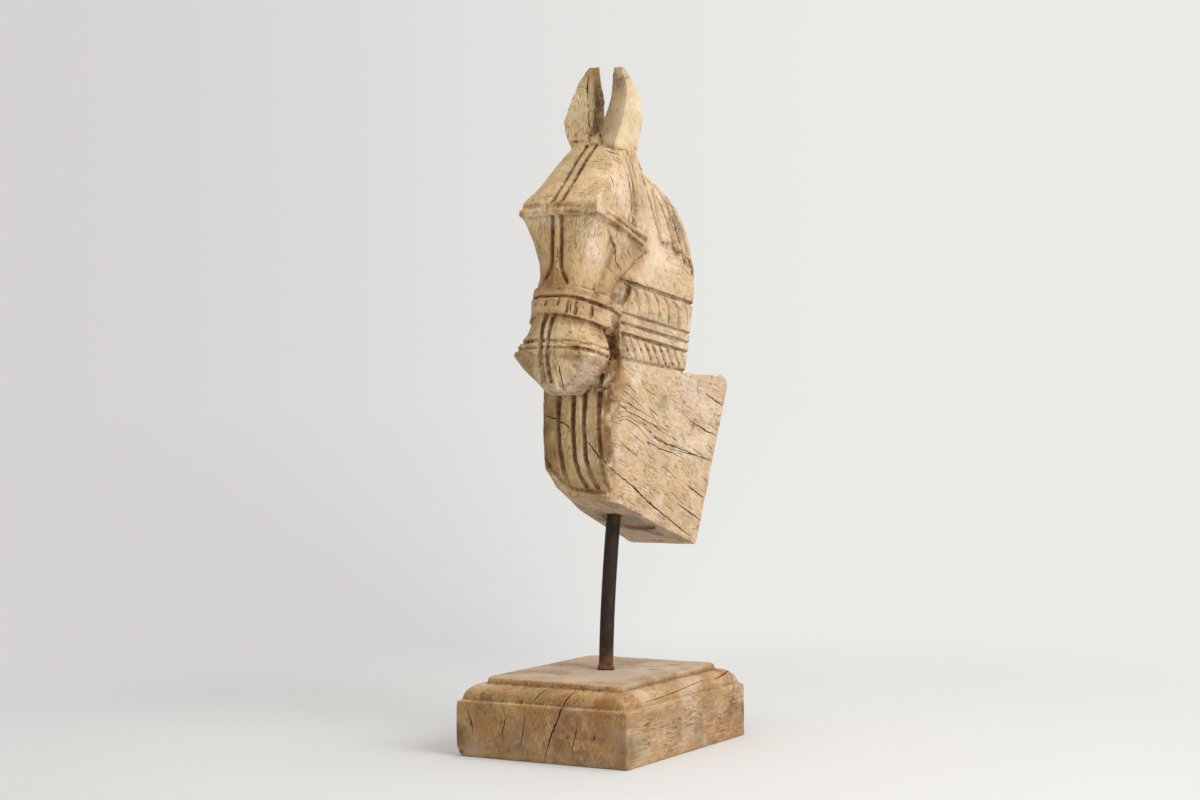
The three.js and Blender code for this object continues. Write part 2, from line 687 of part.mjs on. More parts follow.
const model = new THREE.Group();
model.name = "horse_head_on_stand";
const placedHead = carvedHead().translate(rodHead.toArray());
model.add(meshOf("horse_head", placedHead.subtract(socket()), materials.wood));
model.add(meshOf("rod", rod(), materials.iron));
model.add(meshOf("base", plinth().subtract(socket()), materials.plinth));

export default model;
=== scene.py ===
"""Visual model of a carved wooden horse head on an iron rod and a wooden plinth."""

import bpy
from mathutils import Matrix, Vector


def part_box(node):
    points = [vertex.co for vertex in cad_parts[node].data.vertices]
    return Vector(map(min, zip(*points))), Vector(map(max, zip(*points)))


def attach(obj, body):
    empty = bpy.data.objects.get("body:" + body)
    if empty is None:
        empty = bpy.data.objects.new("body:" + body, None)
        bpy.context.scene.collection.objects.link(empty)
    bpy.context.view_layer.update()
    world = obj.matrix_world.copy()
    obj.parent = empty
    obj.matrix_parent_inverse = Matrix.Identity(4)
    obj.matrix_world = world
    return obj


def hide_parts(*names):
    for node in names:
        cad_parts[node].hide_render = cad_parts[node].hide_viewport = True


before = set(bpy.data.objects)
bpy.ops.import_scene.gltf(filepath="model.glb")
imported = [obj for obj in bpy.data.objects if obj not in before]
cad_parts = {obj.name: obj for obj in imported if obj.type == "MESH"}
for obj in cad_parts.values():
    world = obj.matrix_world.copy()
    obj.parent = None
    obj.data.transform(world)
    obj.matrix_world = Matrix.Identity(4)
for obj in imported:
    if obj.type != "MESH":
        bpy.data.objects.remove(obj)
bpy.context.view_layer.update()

import math
from itertools import product

import bpy
import numpy as np
from mathutils import Vector
from mathutils.kdtree import KDTree

MM = 0.001
FACES_FRONT = 0.25
FACES_SIDE = 0.35
NEAR_ROUNDS = 9
WIDE_ROUNDS = 80
BOX_MARGIN = 0.002
CRACK_STEP = 2.2
BLADE_RISE = 1.4
TRACE_STEP = 3
BEND_OF_TRACE = 0.75


# Noise

def hashed(cells, seed):
    """An even random number from 0 to 1 for each whole-number cell."""
    whole = cells.astype(np.int64).astype(np.uint32)
    mixed = (
        whole[:, 0] * np.uint32(374761393)
        + whole[:, 1] * np.uint32(668265263)
        + whole[:, 2] * np.uint32(2246822519)
        + np.uint32(seed * 97 + 13) * np.uint32(3266489917)
    )
    mixed = (mixed ^ (mixed >> np.uint32(13))) * np.uint32(1274126177)
    return (mixed ^ (mixed >> np.uint32(16))) / 4294967296.0


def noise(points, size, seed):
    """Smooth noise from -1 to 1 with features about size mm across."""
    scaled = points / size
    low = np.floor(scaled)
    share = scaled - low
    share = share * share * (3 - 2 * share)
    total = np.zeros(len(points))
    for corner in product((0, 1), repeat=3):
        weight = np.prod(np.where(corner, share, 1 - share), axis=1)
        total += weight * hashed(low + corner, seed)
    return 2 * total - 1


def ramp(values, start, end):
    """0 at start and 1 at end, smooth between."""
    share = np.clip((values - start) / (end - start), 0, 1)
    return share * share * (3 - 2 * share)


def between(values, low, high):
    return (values > low) & (values < high)


def furrow(points, size, seed):
    """1 along thin wandering lines, 0 between them."""
    return np.clip(1 - np.abs(noise(points, size, seed)) / 0.2, 0, 1)


def blobs(points, spots):
    """Soft round patches: each spot is its centre, radius and strength."""
    total = np.zeros(len(points))
    for *centre, radius, strength in spots:
        square = ((points - np.array(centre)) ** 2).sum(1)
        total += strength * np.exp(-square / radius**2)
    return total


def line_distance(points, line):
    """Distance to a line of two- or three-part points, and the side it lies on."""
    line = np.array(line, float)
    nearest = np.full(len(points), 1e9)
    sign = np.ones(len(points))
    for start, end in zip(line[:-1], line[1:]):
        along = end - start
        share = np.clip((points - start) @ along / (along @ along), 0, 1)
        gap = points - (start + share[:, None] * along)
        distance = np.sqrt((gap**2).sum(1))
        closer = distance < nearest
        nearest[closer] = distance[closer]
        if line.shape[1] == 2:
            turn = along[0] * gap[:, 1] - along[1] * gap[:, 0]
            sign[closer] = np.sign(turn[closer])
    return nearest, sign


def lines_near(points, lines):
    """Soft bands along lines: each is its points, radius and strength."""
    total = np.zeros(len(points))
    for *line, radius, strength in lines:
        distance, _ = line_distance(points, line)
        total = np.maximum(total, strength * np.exp(-((distance / radius) ** 2)))
    return total


def carved_lines(points, normals, lines, face):
    """Depth of round-bottomed grooves drawn on the front, or on both flanks."""
    if face == "front":
        flat, seen = points[:, [0, 2]], normals[:, 1] < -FACES_FRONT
    else:
        flat, seen = points[:, [1, 2]], np.abs(normals[:, 0]) > FACES_SIDE
    depth = np.zeros(len(points))
    for *line, half, deep in lines:
        low, high = np.min(line, axis=0) - half, np.max(line, axis=0) + half
        inside = np.flatnonzero(seen & (flat > low).all(1) & (flat < high).all(1))
        distance, _ = line_distance(flat[inside], line)
        profile = deep * (1 - np.clip(distance / half, 0, 1) ** 2)
        depth[inside] = np.maximum(depth[inside], profile)
    return depth


# Meshes

def vertex_table(mesh):
    """Points in mm and normals of a mesh."""
    points = np.empty(3 * len(mesh.vertices), np.float32)
    mesh.vertices.foreach_get("co", points)
    normals = np.empty(3 * len(mesh.vertices), np.float32)
    mesh.vertex_normals.foreach_get("vector", normals)
    return points.reshape(-1, 3) / MM, normals.reshape(-1, 3).astype(float)


def place_points(mesh, points):
    mesh.vertices.foreach_set("co", (points * MM).astype(np.float32).ravel())
    mesh.update()


class Net:
    """The edges of a mesh, for averages over neighbours."""

    def __init__(self, mesh):
        pairs = np.empty(2 * len(mesh.edges), np.int32)
        mesh.edges.foreach_get("vertices", pairs)
        self.one, self.two = pairs[0::2], pairs[1::2]
        self.count = len(mesh.vertices)
        self.degree = np.maximum(np.bincount(pairs, minlength=self.count), 1)

    def mean(self, values):
        total = np.empty_like(values)
        for axis in range(values.shape[1]):
            column = values[:, axis]
            total[:, axis] = np.bincount(self.one, column[self.two], self.count)
            total[:, axis] += np.bincount(self.two, column[self.one], self.count)
        return total / self.degree[:, None]

    def smoothed(self, values, rounds):
        for _ in range(rounds):
            values = 0.4 * values + 0.6 * self.mean(values)
        return values

    def hollows(self, points, normals, rounds):
        """How far each point lies below its smoothed surroundings, in mm."""
        return ((self.smoothed(points, rounds) - points) * normals).sum(1)


def linked(name, data):
    """A new object with this data, in the scene."""
    obj = bpy.data.objects.new(name, data)
    bpy.context.collection.objects.link(obj)
    return obj


def settle(obj):
    """Turns an object's modifiers into its mesh."""
    graph = bpy.context.evaluated_depsgraph_get()
    done = bpy.data.meshes.new_from_object(obj.evaluated_get(graph))
    obj.modifiers.clear()
    old = obj.data
    obj.data = done
    bpy.data.meshes.remove(old)


def dense_copy(node, name, voxel):
    """A copy of a CAD node, remeshed to even faces voxel mm wide."""
    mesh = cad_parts[node].data.copy()
    mesh.materials.clear()
    obj = linked(name, mesh)
    grid = obj.modifiers.new("grid", "REMESH")
    grid.mode = "VOXEL"
    grid.voxel_size = voxel * MM
    grid.use_smooth_shade = True
    settle(obj)
    return obj


def thin_out(obj, triangles):
    """Merges flat faces until about the given number of triangles is left."""
    fewer = obj.modifiers.new("fewer", "DECIMATE")
    now = sum(len(face.vertices) - 2 for face in obj.data.polygons)
    fewer.ratio = min(1.0, triangles / now)
    fewer.use_collapse_triangulate = True
    settle(obj)


def weathered(obj, box, relief, deepen=0.0, keep=None, rounded=None):
    """Wears the edges of a dense mesh, adds its relief and returns its hollows."""
    points, normals = vertex_table(obj.data)
    net = Net(obj.data)
    soft = net.smoothed(points, 1)
    worn = net.smoothed(soft, 8)
    hollow = net.hollows(points, normals, NEAR_ROUNDS)
    patchy = np.clip(0.4 + 0.6 * noise(points, 9, 3), 0.05, 0.9)
    share = ramp(-hollow, 0.05, 0.5) * patchy
    moved = soft + (worn - soft) * share[:, None]
    if rounded is not None:
        moved = rounded(moved)
    depth = relief(points, normals) + deepen * np.clip(hollow, 0, 1.2)
    moved -= normals * depth[:, None]
    if keep is not None:
        held = keep(points, normals)
        moved[held] = points[held]
    low, high = (np.array(corner) / MM for corner in box)
    place_points(obj.data, np.clip(moved, low + BOX_MARGIN, high - BOX_MARGIN))
    points, normals = vertex_table(obj.data)
    near = net.hollows(points, normals, NEAR_ROUNDS)
    wide = net.hollows(points, normals, WIDE_ROUNDS)
    return points, near, wide


def carried(table, points, *values):
    """Values of a dense mesh at the nearest points of a thinner one."""
    tree = KDTree(len(table))
    for index, point in enumerate(table.tolist()):
        tree.insert(point, index)
    tree.balance()
    found = np.array([tree.find(point)[1] for point in points.tolist()])
    return [value[found] for value in values]


def store(mesh, name, values):
    kind = "FLOAT" if values.ndim == 1 else "FLOAT_VECTOR"
    layer = mesh.attributes.new(name, kind, "POINT")
    field = "value" if values.ndim == 1 else "vector"
    layer.data.foreach_set(field, values.astype(np.float32).ravel())


# Cracks

def resampled(line, step):
    """A line of points with a stop about every step mm."""
    line = np.array(line, float)
    run = np.concatenate([[0], np.cumsum(np.linalg.norm(np.diff(line, axis=0), axis=1))])
    count = max(4, int(run[-1] / step) + 1)
    places = np.linspace(0, run[-1], count)
    return np.stack([np.interp(places, run, line[:, axis]) for axis in range(3)], 1)


def blade(obj, line, width, depth, rng):
    """A wedge that follows a line over the surface: rings of three points."""
    stops = resampled(line, CRACK_STEP)
    count = len(stops)
    places, normals = [], []
    for stop in stops:
        _, place, normal, _ = obj.closest_point_on_mesh(Vector(stop * MM))
        places.append(np.array(place) / MM)
        normals.append(np.array(normal))
    places, normals = np.array(places), np.array(normals)
    for _ in range(3):
        padded = np.concatenate([normals[:1], normals, normals[-1:]])
        normals = padded[:-2] + padded[1:-1] + padded[2:]
        normals /= np.linalg.norm(normals, axis=1)[:, None]
    along = np.gradient(places, axis=0)
    side = np.cross(normals, along)
    side /= np.linalg.norm(side, axis=1)[:, None] + 1e-9
    ends = np.sin(np.pi * np.linspace(0.04, 0.96, count)) ** 0.6
    drift = rng.uniform(-0.32, 0.32, count) * min(width, 1.4)
    half = width / 2 * ends * rng.uniform(0.65, 1.25, count)
    rings = []
    for index in range(count):
        middle = places[index] + side[index] * drift[index]
        top = middle + normals[index] * BLADE_RISE
        wide = side[index] * max(half[index], 0.07) * (1 + BLADE_RISE / max(depth, 1))
        deep = depth * ends[index] * rng.uniform(0.8, 1.1)
        rings.append([middle - normals[index] * deep, top + wide, top - wide])
    return rings


def cut_cracks(obj, blades, dark):
    """Cuts every blade out of the object, leaving walls of the dark material."""
    points, faces = [], []
    for rings in blades:
        first = len(points)
        for ring in rings:
            points.extend(tuple(point * MM) for point in ring)
        last = first + 3 * (len(rings) - 1)
        for index in range(len(rings) - 1):
            here, there = first + 3 * index, first + 3 * index + 3
            for edge in range(3):
                other = (edge + 1) % 3
                faces.append((here + edge, here + other, there + other, there + edge))
        faces.append((first + 2, first + 1, first))
        faces.append((last, last + 1, last + 2))
    mesh = bpy.data.meshes.new("blades")
    mesh.from_pydata(points, [], faces)
    mesh.materials.append(obj.data.materials[0])
    mesh.materials.append(dark)
    mesh.polygons.foreach_set("material_index", [1] * len(faces))
    tool = linked("blades", mesh)
    obj.data.materials.append(dark)
    cut = obj.modifiers.new("cracks", "BOOLEAN")
    cut.operation = "DIFFERENCE"
    cut.solver = "MANIFOLD"
    cut.object = tool
    settle(obj)
    bpy.data.objects.remove(tool)


def traced(obj, start, heading, length):
    """A line that follows the grain over the surface from a starting point."""
    line = [np.array(start, float)]
    first = None
    for _ in range(max(3, int(length / TRACE_STEP))):
        _, place, normal, _ = obj.closest_point_on_mesh(Vector(line[-1] * MM))
        place, normal = np.array(place) / MM, np.array(normal)
        first = normal if first is None else first
        if normal.dot(first) < BEND_OF_TRACE:
            break
        way = heading(place, normal)
        way = way - normal * way.dot(normal)
        way /= np.linalg.norm(way) + 1e-9
        line.append(place + way * TRACE_STEP)
    return line


def scattered(obj, allowed, heading, count, lengths, width, depth, rng):
    """Small cracks along the grain, where allowed says that they may start."""
    points, normals = vertex_table(obj.data)
    starts = np.flatnonzero(allowed(points, normals))
    blades = []
    for index in rng.choice(starts, count, replace=False):
        line = traced(obj, points[index], heading, rng.uniform(*lengths))
        if len(line) > 3:
            blades.append(blade(obj, line, width * rng.uniform(0.6, 1.3), depth, rng))
    return blades


# Materials

class Nodes:
    """Short calls to add and link the nodes of one tree."""

    def __init__(self, tree):
        self.tree = tree
        tree.nodes.clear()

    def node(self, kind, settings=None, **inputs):
        made = self.tree.nodes.new(kind)
        for key, value in (settings or {}).items():
            setattr(made, key, value)
        return self.fill(made, **inputs)

    def fill(self, node, **inputs):
        for key, value in inputs.items():
            self.feed(node.inputs[key.replace("_", " ")], value)
        return node

    def feed(self, socket, value):
        if isinstance(value, bpy.types.NodeSocket):
            self.tree.links.new(value, socket)
        elif socket.type == "RGBA" and len(value) == 3:
            socket.default_value = (*value, 1)
        else:
            socket.default_value = value

    def place(self):
        return self.node("ShaderNodeTexCoord").outputs["Object"]

    def attribute(self, name, output="Fac"):
        return self.node("ShaderNodeAttribute", {"attribute_name": name}).outputs[output]

    def math(self, operation, one, two=0.0, clamp=False):
        made = self.node("ShaderNodeMath", {"operation": operation, "use_clamp": clamp})
        self.feed(made.inputs[0], one)
        self.feed(made.inputs[1], two)
        return made.outputs[0]

    def times(self, one, two, clamp=False):
        return self.math("MULTIPLY", one, two, clamp)

    def vector(self, operation, *values):
        made = self.node("ShaderNodeVectorMath", {"operation": operation})
        for socket, value in zip(made.inputs, values):
            self.feed(socket, value)
        return made.outputs["Value" if operation in ("DOT_PRODUCT", "LENGTH") else "Vector"]

    def blend(self, share, one, two):
        """A mix of two shaders."""
        made = self.node("ShaderNodeMixShader")
        for socket, value in zip(made.inputs, (share, one.outputs[0], two.outputs[0])):
            self.feed(socket, value)
        return made.outputs[0]

    def span(self, value, start, end, low=0.0, high=1.0):
        made = self.node(
            "ShaderNodeMapRange",
            {"interpolation_type": "SMOOTHSTEP"},
            Value=value,
            From_Min=start,
            From_Max=end,
            To_Min=low,
            To_Max=high,
        )
        return made.outputs[0]

    def mix(self, share, one, two, blend="MIX"):
        made = self.node("ShaderNodeMix", {"data_type": "RGBA", "blend_type": blend})
        self.feed(made.inputs[0], share)
        self.feed(made.inputs[6], one)
        self.feed(made.inputs[7], two)
        return made.outputs[2]

    def mixed_number(self, share, one, two):
        made = self.node("ShaderNodeMix", {"data_type": "FLOAT"})
        self.feed(made.inputs[0], share)
        self.feed(made.inputs[2], one)
        self.feed(made.inputs[3], two)
        return made.outputs[0]

    def noise(self, vector, scale, detail=3.0, rough=0.55, distortion=0.0):
        made = self.node(
            "ShaderNodeTexNoise",
            Vector=vector,
            Scale=scale,
            Detail=detail,
            Roughness=rough,
            Distortion=distortion,
        )
        return made.outputs["Fac"]

    def ridge(self, vector, scale):
        """0 along thin wandering lines, larger away from them."""
        even = self.math("SUBTRACT", self.noise(vector, scale, 3.0, 0.5), 0.5)
        return self.math("ABSOLUTE", even)

    def bump(self, height, strength, distance, normal=None):
        made = self.node(
            "ShaderNodeBump", Height=height, Strength=strength, Distance=distance * MM
        )
        if normal is not None:
            self.feed(made.inputs["Normal"], normal)
        return made.outputs[0]


class Look(Nodes):
    """A node material with one main shader."""

    def __init__(self, name):
        self.material = bpy.data.materials.new(name)
        self.material.use_nodes = True
        super().__init__(self.material.node_tree)
        self.shader = self.node("ShaderNodeBsdfPrincipled")
        self.output = self.node("ShaderNodeOutputMaterial", Surface=self.shader.outputs[0])

    def shade(self, **inputs):
        self.fill(self.shader, **inputs)
        return self.material


def wood(name, tones):
    """Old bare wood: mottled colour, grain, fine crazing, dirt and stain with painted shade, rust and
    worn edges.
    """
    look = Look(name)
    place = look.place()
    facing = look.attribute("facing")
    bend = look.node("ShaderNodeTexNoise", Vector=place, Scale=90.0, Detail=2.0)
    bent = bend.outputs["Color"]
    grains = [
        look.vector("MULTIPLY_ADD", bent, (1.6, 1.6, 1.6), look.attribute(layer, "Vector"))
        for layer in ("fibre", "upright")
    ]

    def along_grain(make, *settings):
        return look.mixed_number(facing, *(make(grain, *settings) for grain in grains))

    streak = along_grain(look.noise, 0.75, 4.0, 0.62)
    split = along_grain(look.ridge, 0.42)
    strand = along_grain(look.noise, 1.25, 2.0, 0.5)
    patch = look.noise(place, 55.0, 2.0)
    mottle = look.noise(place, 26.0, 4.0, 0.6)
    fine = look.noise(place, 420.0, 3.0, 0.6)

    colour = look.mix(look.span(mottle, 0.34, 0.66), tones["deep"], tones["pale"])
    colour = look.mix(look.span(streak, 0.36, 0.62), tones["streak"], colour)
    cloud = look.span(look.noise(place, 38.0, 3.0, 0.6), 0.45, 0.68)
    colour = look.mix(look.times(cloud, 0.6), colour, tones["cloud"])
    for layer in ("edge", "bleached"):
        colour = look.mix(look.attribute(layer), colour, tones[layer])
    tint = look.mix(look.attribute("front"), (1.0, 1.0, 1.0), tones["front"])
    colour = look.mix(1.0, colour, tint, "MULTIPLY")
    colour = look.mix(look.attribute("grey"), colour, tones["grey"])
    # Stain tone, which on the carving also carries painted shade.
    uneven = look.span(mottle, 0.3, 0.6, 0.55, 1.1)
    stain_and_shade = look.times(look.attribute("stain_and_shade"), uneven, clamp=True)
    colour = look.mix(stain_and_shade, colour, tones["stain_and_shade"])
    colour = look.mix(look.attribute("rust"), colour, tones["rust"])

    crazed = look.span(patch, tones["craze"], tones["craze"] + 0.12)
    lines = look.times(look.span(split, 0.0, 0.016, 1.0, 0.0), crazed, clamp=True)
    stroked = look.span(look.noise(place, 70.0, 2.0), 0.4, 0.62)
    strokes = look.times(look.span(strand, 0.31, 0.42, 1.0, 0.0), stroked)
    lines = look.math("MAXIMUM", lines, look.times(strokes, tones["strokes"]))
    fewer = look.span(look.attribute("bleached"), 0.0, 0.9, 1.0, 0.3)
    lines = look.times(lines, fewer)
    colour = look.mix(look.times(lines, 0.8), colour, tones["line"])
    # Darkest tone: dirt, with painted shade deep in hollows and recesses.
    ragged = look.times(look.span(fine, 0.25, 0.75, 0.55, 1.25), look.attribute("dirt_and_shade"))
    colour = look.mix(look.math("MINIMUM", ragged, 0.96), colour, tones["dirt_and_shade"])
    height = look.math("SUBTRACT", look.times(streak, 0.7), lines)
    return look.shade(
        Base_Color=colour,
        Roughness=look.span(streak, 0.2, 0.8, 0.86, 0.68),
        Specular_IOR_Level=0.25,
        Normal=look.bump(fine, 0.7, 0.3, look.bump(height, 1.0, 0.7)),
    )


def plain_dark(name, colour):
    """The walls of a crack: dark wood with a little mottling."""
    look = Look(name)
    mottle = look.noise(look.place(), 180.0)
    lighter = tuple(2.2 * part for part in colour)
    return look.shade(
        Base_Color=look.mix(mottle, colour, lighter),
        Roughness=look.span(mottle, 0.3, 0.7, 0.85, 0.95),
        Specular_IOR_Level=0.1,
    )


def iron(name):
    """Dark wrought iron with rust where it meets the wood."""
    look = Look(name)
    place = look.place()
    pits = look.noise(place, 320.0, 4.0, 0.65)
    cloud = look.noise(place, 90.0, 3.0, 0.6)
    share = look.span(cloud, 0.35, 0.65)
    colour = look.mix(share, (0.017, 0.0095, 0.0055), (0.032, 0.018, 0.0105))
    rusty = look.times(look.attribute("rust"), look.span(pits, 0.3, 0.6, 0.4, 1.0))
    return look.shade(
        Base_Color=look.mix(rusty, colour, (0.20, 0.088, 0.034)),
        Roughness=look.span(cloud, 0.3, 0.7, 0.5, 0.68),
        Metallic=0.1,
        Specular_IOR_Level=0.3,
        Normal=look.bump(pits, 0.5, 0.25),
    )


HEAD_TONES = {
    "pale": (0.80, 0.615, 0.415),
    "deep": (0.68, 0.495, 0.305),
    "streak": (0.56, 0.38, 0.21),
    "cloud": (0.77, 0.64, 0.505),
    "stain_and_shade": (0.36, 0.24, 0.105),
    "front": (0.95, 0.93, 0.78),
    "strokes": 0.72,
    "grey": (0.33, 0.27, 0.21),
    "rust": (0.40, 0.225, 0.085),
    "edge": (0.74, 0.57, 0.37),
    "bleached": (0.86, 0.72, 0.56),
    "line": (0.23, 0.12, 0.05),
    "dirt_and_shade": (0.115, 0.053, 0.021),
    "craze": 0.44,
}
BASE_TONES = {
    "pale": (0.65, 0.445, 0.235),
    "deep": (0.44, 0.26, 0.11),
    "streak": (0.37, 0.205, 0.082),
    "cloud": (0.62, 0.48, 0.32),
    "stain_and_shade": (0.21, 0.14, 0.065),
    "front": (0.97, 0.97, 0.78),
    "strokes": 0.4,
    "grey": (0.60, 0.475, 0.37),
    "rust": (0.31, 0.12, 0.045),
    "edge": (0.48, 0.33, 0.18),
    "bleached": (0.68, 0.52, 0.36),
    "line": (0.15, 0.075, 0.033),
    "dirt_and_shade": (0.10, 0.05, 0.022),
    "craze": 0.52,
}

# Grain

GRAIN_SLOPE = math.radians(-24)
KNOT = np.array([39.0, 288.0])


def grain_offsets(points):
    """Across and along coordinates of the diagonal grain, bent round the knot."""
    y, z = points[:, 1], points[:, 2]
    from_knot = ((y - KNOT[0]) ** 2 + (z - KNOT[1]) ** 2) / 30**2
    across = z * math.cos(GRAIN_SLOPE) - y * math.sin(GRAIN_SLOPE)
    across = across + 13 * np.exp(-from_knot) + 5 * np.sin(y / 33 + z / 60)
    along = y * math.cos(GRAIN_SLOPE) + z * math.sin(GRAIN_SLOPE)
    return across, along


def head_fibres(points):
    """Grain coordinates of the carving: diagonal in the block, upright above."""
    across, along = grain_offsets(points)
    diagonal = np.stack([points[:, 0], across, along / 6], 1)
    sway = 4 * np.sin(points[:, 2] / 26 + points[:, 1] / 40)
    upright = np.stack([points[:, 0] + sway, points[:, 1] + sway, points[:, 2] / 5], 1)
    return diagonal, upright


def head_facing(points, normals):
    """1 where the upright grain shows, 0 where the diagonal grain does."""
    front = ramp(-normals[:, 1], 0.45, 0.75) * ramp(points[:, 1], 20, 0)
    high = ramp(points[:, 2], 395, 440) * ramp(points[:, 1], 60, 10)
    return np.maximum(front, high)


def head_heading(place, normal):
    """The direction of the carving's grain at one point."""
    upright = head_facing(place[None], normal[None])[0]
    diagonal = np.array([0, math.cos(GRAIN_SLOPE), math.sin(GRAIN_SLOPE)])
    if abs(normal.dot(diagonal)) > 0.85:
        diagonal = np.array([0.6, 0, -0.8])
    return (1 - upright) * diagonal + upright * np.array([0.1, 0.05, -1.0])


FRONT_LINES = [
    ((-9.5, 477), (-8.5, 530), 2.7, 1),
    ((0.5, 477), (1.5, 530), 2.7, 1),
    ((-6, 463), (-6, 421), (-9, 414), (-15.5, 406), 2, 1),
    ((2.9, 463), (2.9, 421), (5, 414), (9.7, 406), 2, 1),
    ((-2, 378), (-5, 368), (-5, 358), (-3, 340), (-2, 318), 2.6, 1.6),
    ((6, 378), (2, 368), (2, 354), (3, 339), (5, 320), 2.3, 1.5),
    ((-16, 334), (-16, 284), (-15, 265), (-12, 242), (-8, 231), 2.2, 1.2),
    ((-1, 334), (-1, 284), (0, 254), (4, 239), (10, 229), 2.2, 1.2),
    ((10, 334), (10, 284), (11, 254), (15, 239), (21, 228), 2.2, 1.2),
    ((25, 334), (25, 284), (26, 249), (28, 234), (32, 227), 2.1, 1.2),
    ((-32, 257), (-24, 244), (-13, 232), (-3, 227), (12, 226), (35, 224), 2.2, 0.9),
    ((-2.5, 428), (4.5, 428), 1.2, 0.7),
    ((-2.5, 424), (4.5, 424), 1.2, 0.7),
    ((-28, 535), (-9, 534), (-4, 530), (9, 529), (26, 524), 1.5, 0.9),
    ((-32, 354), (-13, 356), (3, 355), (19, 353), (33, 348), 2.4, 0.9),
    ((-34, 342), (-15, 343), (2, 342), (18, 341), (33, 336), 2.4, 0.9),
    ((0, 541), (4, 536), (7, 530), 1.5, 1.1),
    ((-12, 541), (-8, 535), (-5, 530), 1.5, 1.1),
]
JAW_LINE = [(26, 436), (10, 430), (-20, 412), (-31, 405), (-44, 392)]
CHEEK_LINE = [(-33, 437), (-40, 427), (-52, 411), (-62, 395)]
SIDE_LINES = [
    (*JAW_LINE, 1.7, 0.8),
    (*CHEEK_LINE, 2.4, 1.2),
    ((17, 512), (30, 498), (37, 486), (41, 475), (48, 459), (54, 449), 2.4, 1.2),
    ((40, 505), (49, 496), (62, 481), (66, 470), (72, 453), (79, 443), 2.4, 1.2),
    ((62, 496), (71, 487), (78, 471), (87, 459), (95, 448), (99, 437), 2.2, 1.1),
    ((-8, 523), (-4, 508), (-1, 493), (-2, 474), (-12, 457), 1.6, 1),
    ((-3, 522), (3, 508), (5, 493), (5, 475), (-4, 455), 1.6, 1),
    ((-3, 404), (-9, 394), (-19, 388), 1.6, 1),
    ((-31, 384), (-29, 367), 1.3, 0.9),
]
DROPS = [((55, 449), (8.5, 4.5)), ((80, 442), (8.5, 4.0)), ((102, 433), (6.0, 4.0))]


def raised_drops(points, normals):
    """The round ends of the mane's locks stand proud of the neck."""
    flat = points[:, [1, 2]]
    seen = np.abs(normals[:, 0]) > FACES_SIDE
    height = np.zeros(len(points))
    for centre, reach in DROPS:
        share = (((flat - np.array(centre)) / np.array(reach)) ** 2).sum(1)
        height += 2.2 * np.clip(1 - share, 0, 1)
    return np.where(seen, height, 0)


def jaw_step(points, normals):
    """The neck lies deeper than the jaw just behind the jaw's edge."""
    side = (np.abs(normals[:, 0]) > FACES_SIDE) & between(points[:, 2], 386, 452)
    found = np.flatnonzero(side & between(points[:, 1], -50, 60))
    flat = points[found][:, [1, 2]]
    distance, sign = line_distance(flat, JAW_LINE)
    depth = np.zeros(len(points))
    start = np.array(JAW_LINE[0])
    way = np.array(JAW_LINE[1]) - start
    ahead = (flat - start) @ way / np.linalg.norm(way)
    depth[found] = np.where(sign > 0, 1.6 * ramp(distance, 30, 0), 0) * ramp(ahead, -3, 6)
    return depth


def head_relief(points, normals):
    """Depth in mm of the carving's worn surface below the CAD surface."""
    fibres = head_fibres(points)
    facing = head_facing(points, normals)

    def grained(field, sizes, seed):
        """A field along the diagonal grain, and along the upright grain where that shows."""
        one, two = (field(fibre, size, seed + i) for i, (fibre, size) in enumerate(zip(fibres, sizes)))
        return one * (1 - facing) + two * facing

    furrows = grained(furrow, (3.4, 3.0), 18) * ramp(noise(points, 24, 20), -0.7, 0.35)
    fine = 0.25 + 0.12 * grained(noise, (2.6, 2.4), 11) + 0.16 * grained(noise, (7.0, 7.0), 13)
    depth = fine + 0.25 * noise(points, 17, 16) + 0.2 * np.abs(noise(points, 11, 15))
    pits = ramp(noise(points, 4.5, 17), 0.45, 0.75)
    depth = (depth + 0.3 * pits + 0.45 * furrows) * ramp(points[:, 2], 560, 520) + 0.1
    depth += carved_lines(points, normals, FRONT_LINES, "front")
    depth += carved_lines(points, normals, SIDE_LINES, "side")
    return depth + jaw_step(points, normals) - raised_drops(points, normals)


SIDE_CRACKS = [
    ((34, -48, 249.5), (34, -27, 239), (34, -10, 232), (35, 24, 213), (36, 62, 195), (37, 99, 178),
     1.5, 5),
    ((38, 127, 309), (39, 142, 304), (39, 159, 298), 1.3, 4),
    ((37, 98, 285), (38, 124, 276), (39, 148, 270), 1.3, 4),
    ((35, 1, 290), (35, 18, 283), (36, 37, 269), (36, 63, 263), (37, 88, 258), (39, 138, 246), 1,
     3),
    ((35, 21, 268), (36, 42, 261), (36, 63, 257), (36, 88, 250), 0.8, 2.5),
    ((37, 90, 227), (38, 122, 213), 1.3, 4),
    ((37, 72, 211), (38, 116, 193), 1.2, 3.5),
    ((34, -27, 269), (34, -10, 261), (35, 4, 255), 0.8, 2.5),
    ((35, 25, 297), (35, 32, 289), (36, 40, 281), (36, 50, 276), 0.7, 2),
    ((37, 60, 222), (37, 84, 210), 0.7, 2),
    ((36, 45, 246), (36, 68, 236), 0.7, 2),
    ((33, -38, 282), (34, -28, 287), (34, -13, 288), (35, 6, 281), (35, 24, 270), (36, 44, 262),
     0.7, 1.8),
    ((34, -33, 289), (34, -13, 291), (35, 9, 284), (35, 32, 273), (36, 56, 265), (37, 88, 260), 0.7,
     1.8),
    ((34, -28, 295), (34, -9, 294), (35, 17, 287), (36, 44, 277), (37, 68, 269), 0.7, 1.8),
    ((34, -31, 305), (34, -13, 302), (35, 10, 295), (35, 33, 287), 0.6, 1.5),
    ((34, -27, 315), (34, -13, 311), (35, 2, 303), (35, 17, 296), 0.6, 1.5),
    ((35, -22, 322), (34, -7, 316), (35, 6, 309), 0.6, 1.5),
    ((36, 64, 260), (37, 96, 255), (39, 137, 248), 0.9, 2.2),
]
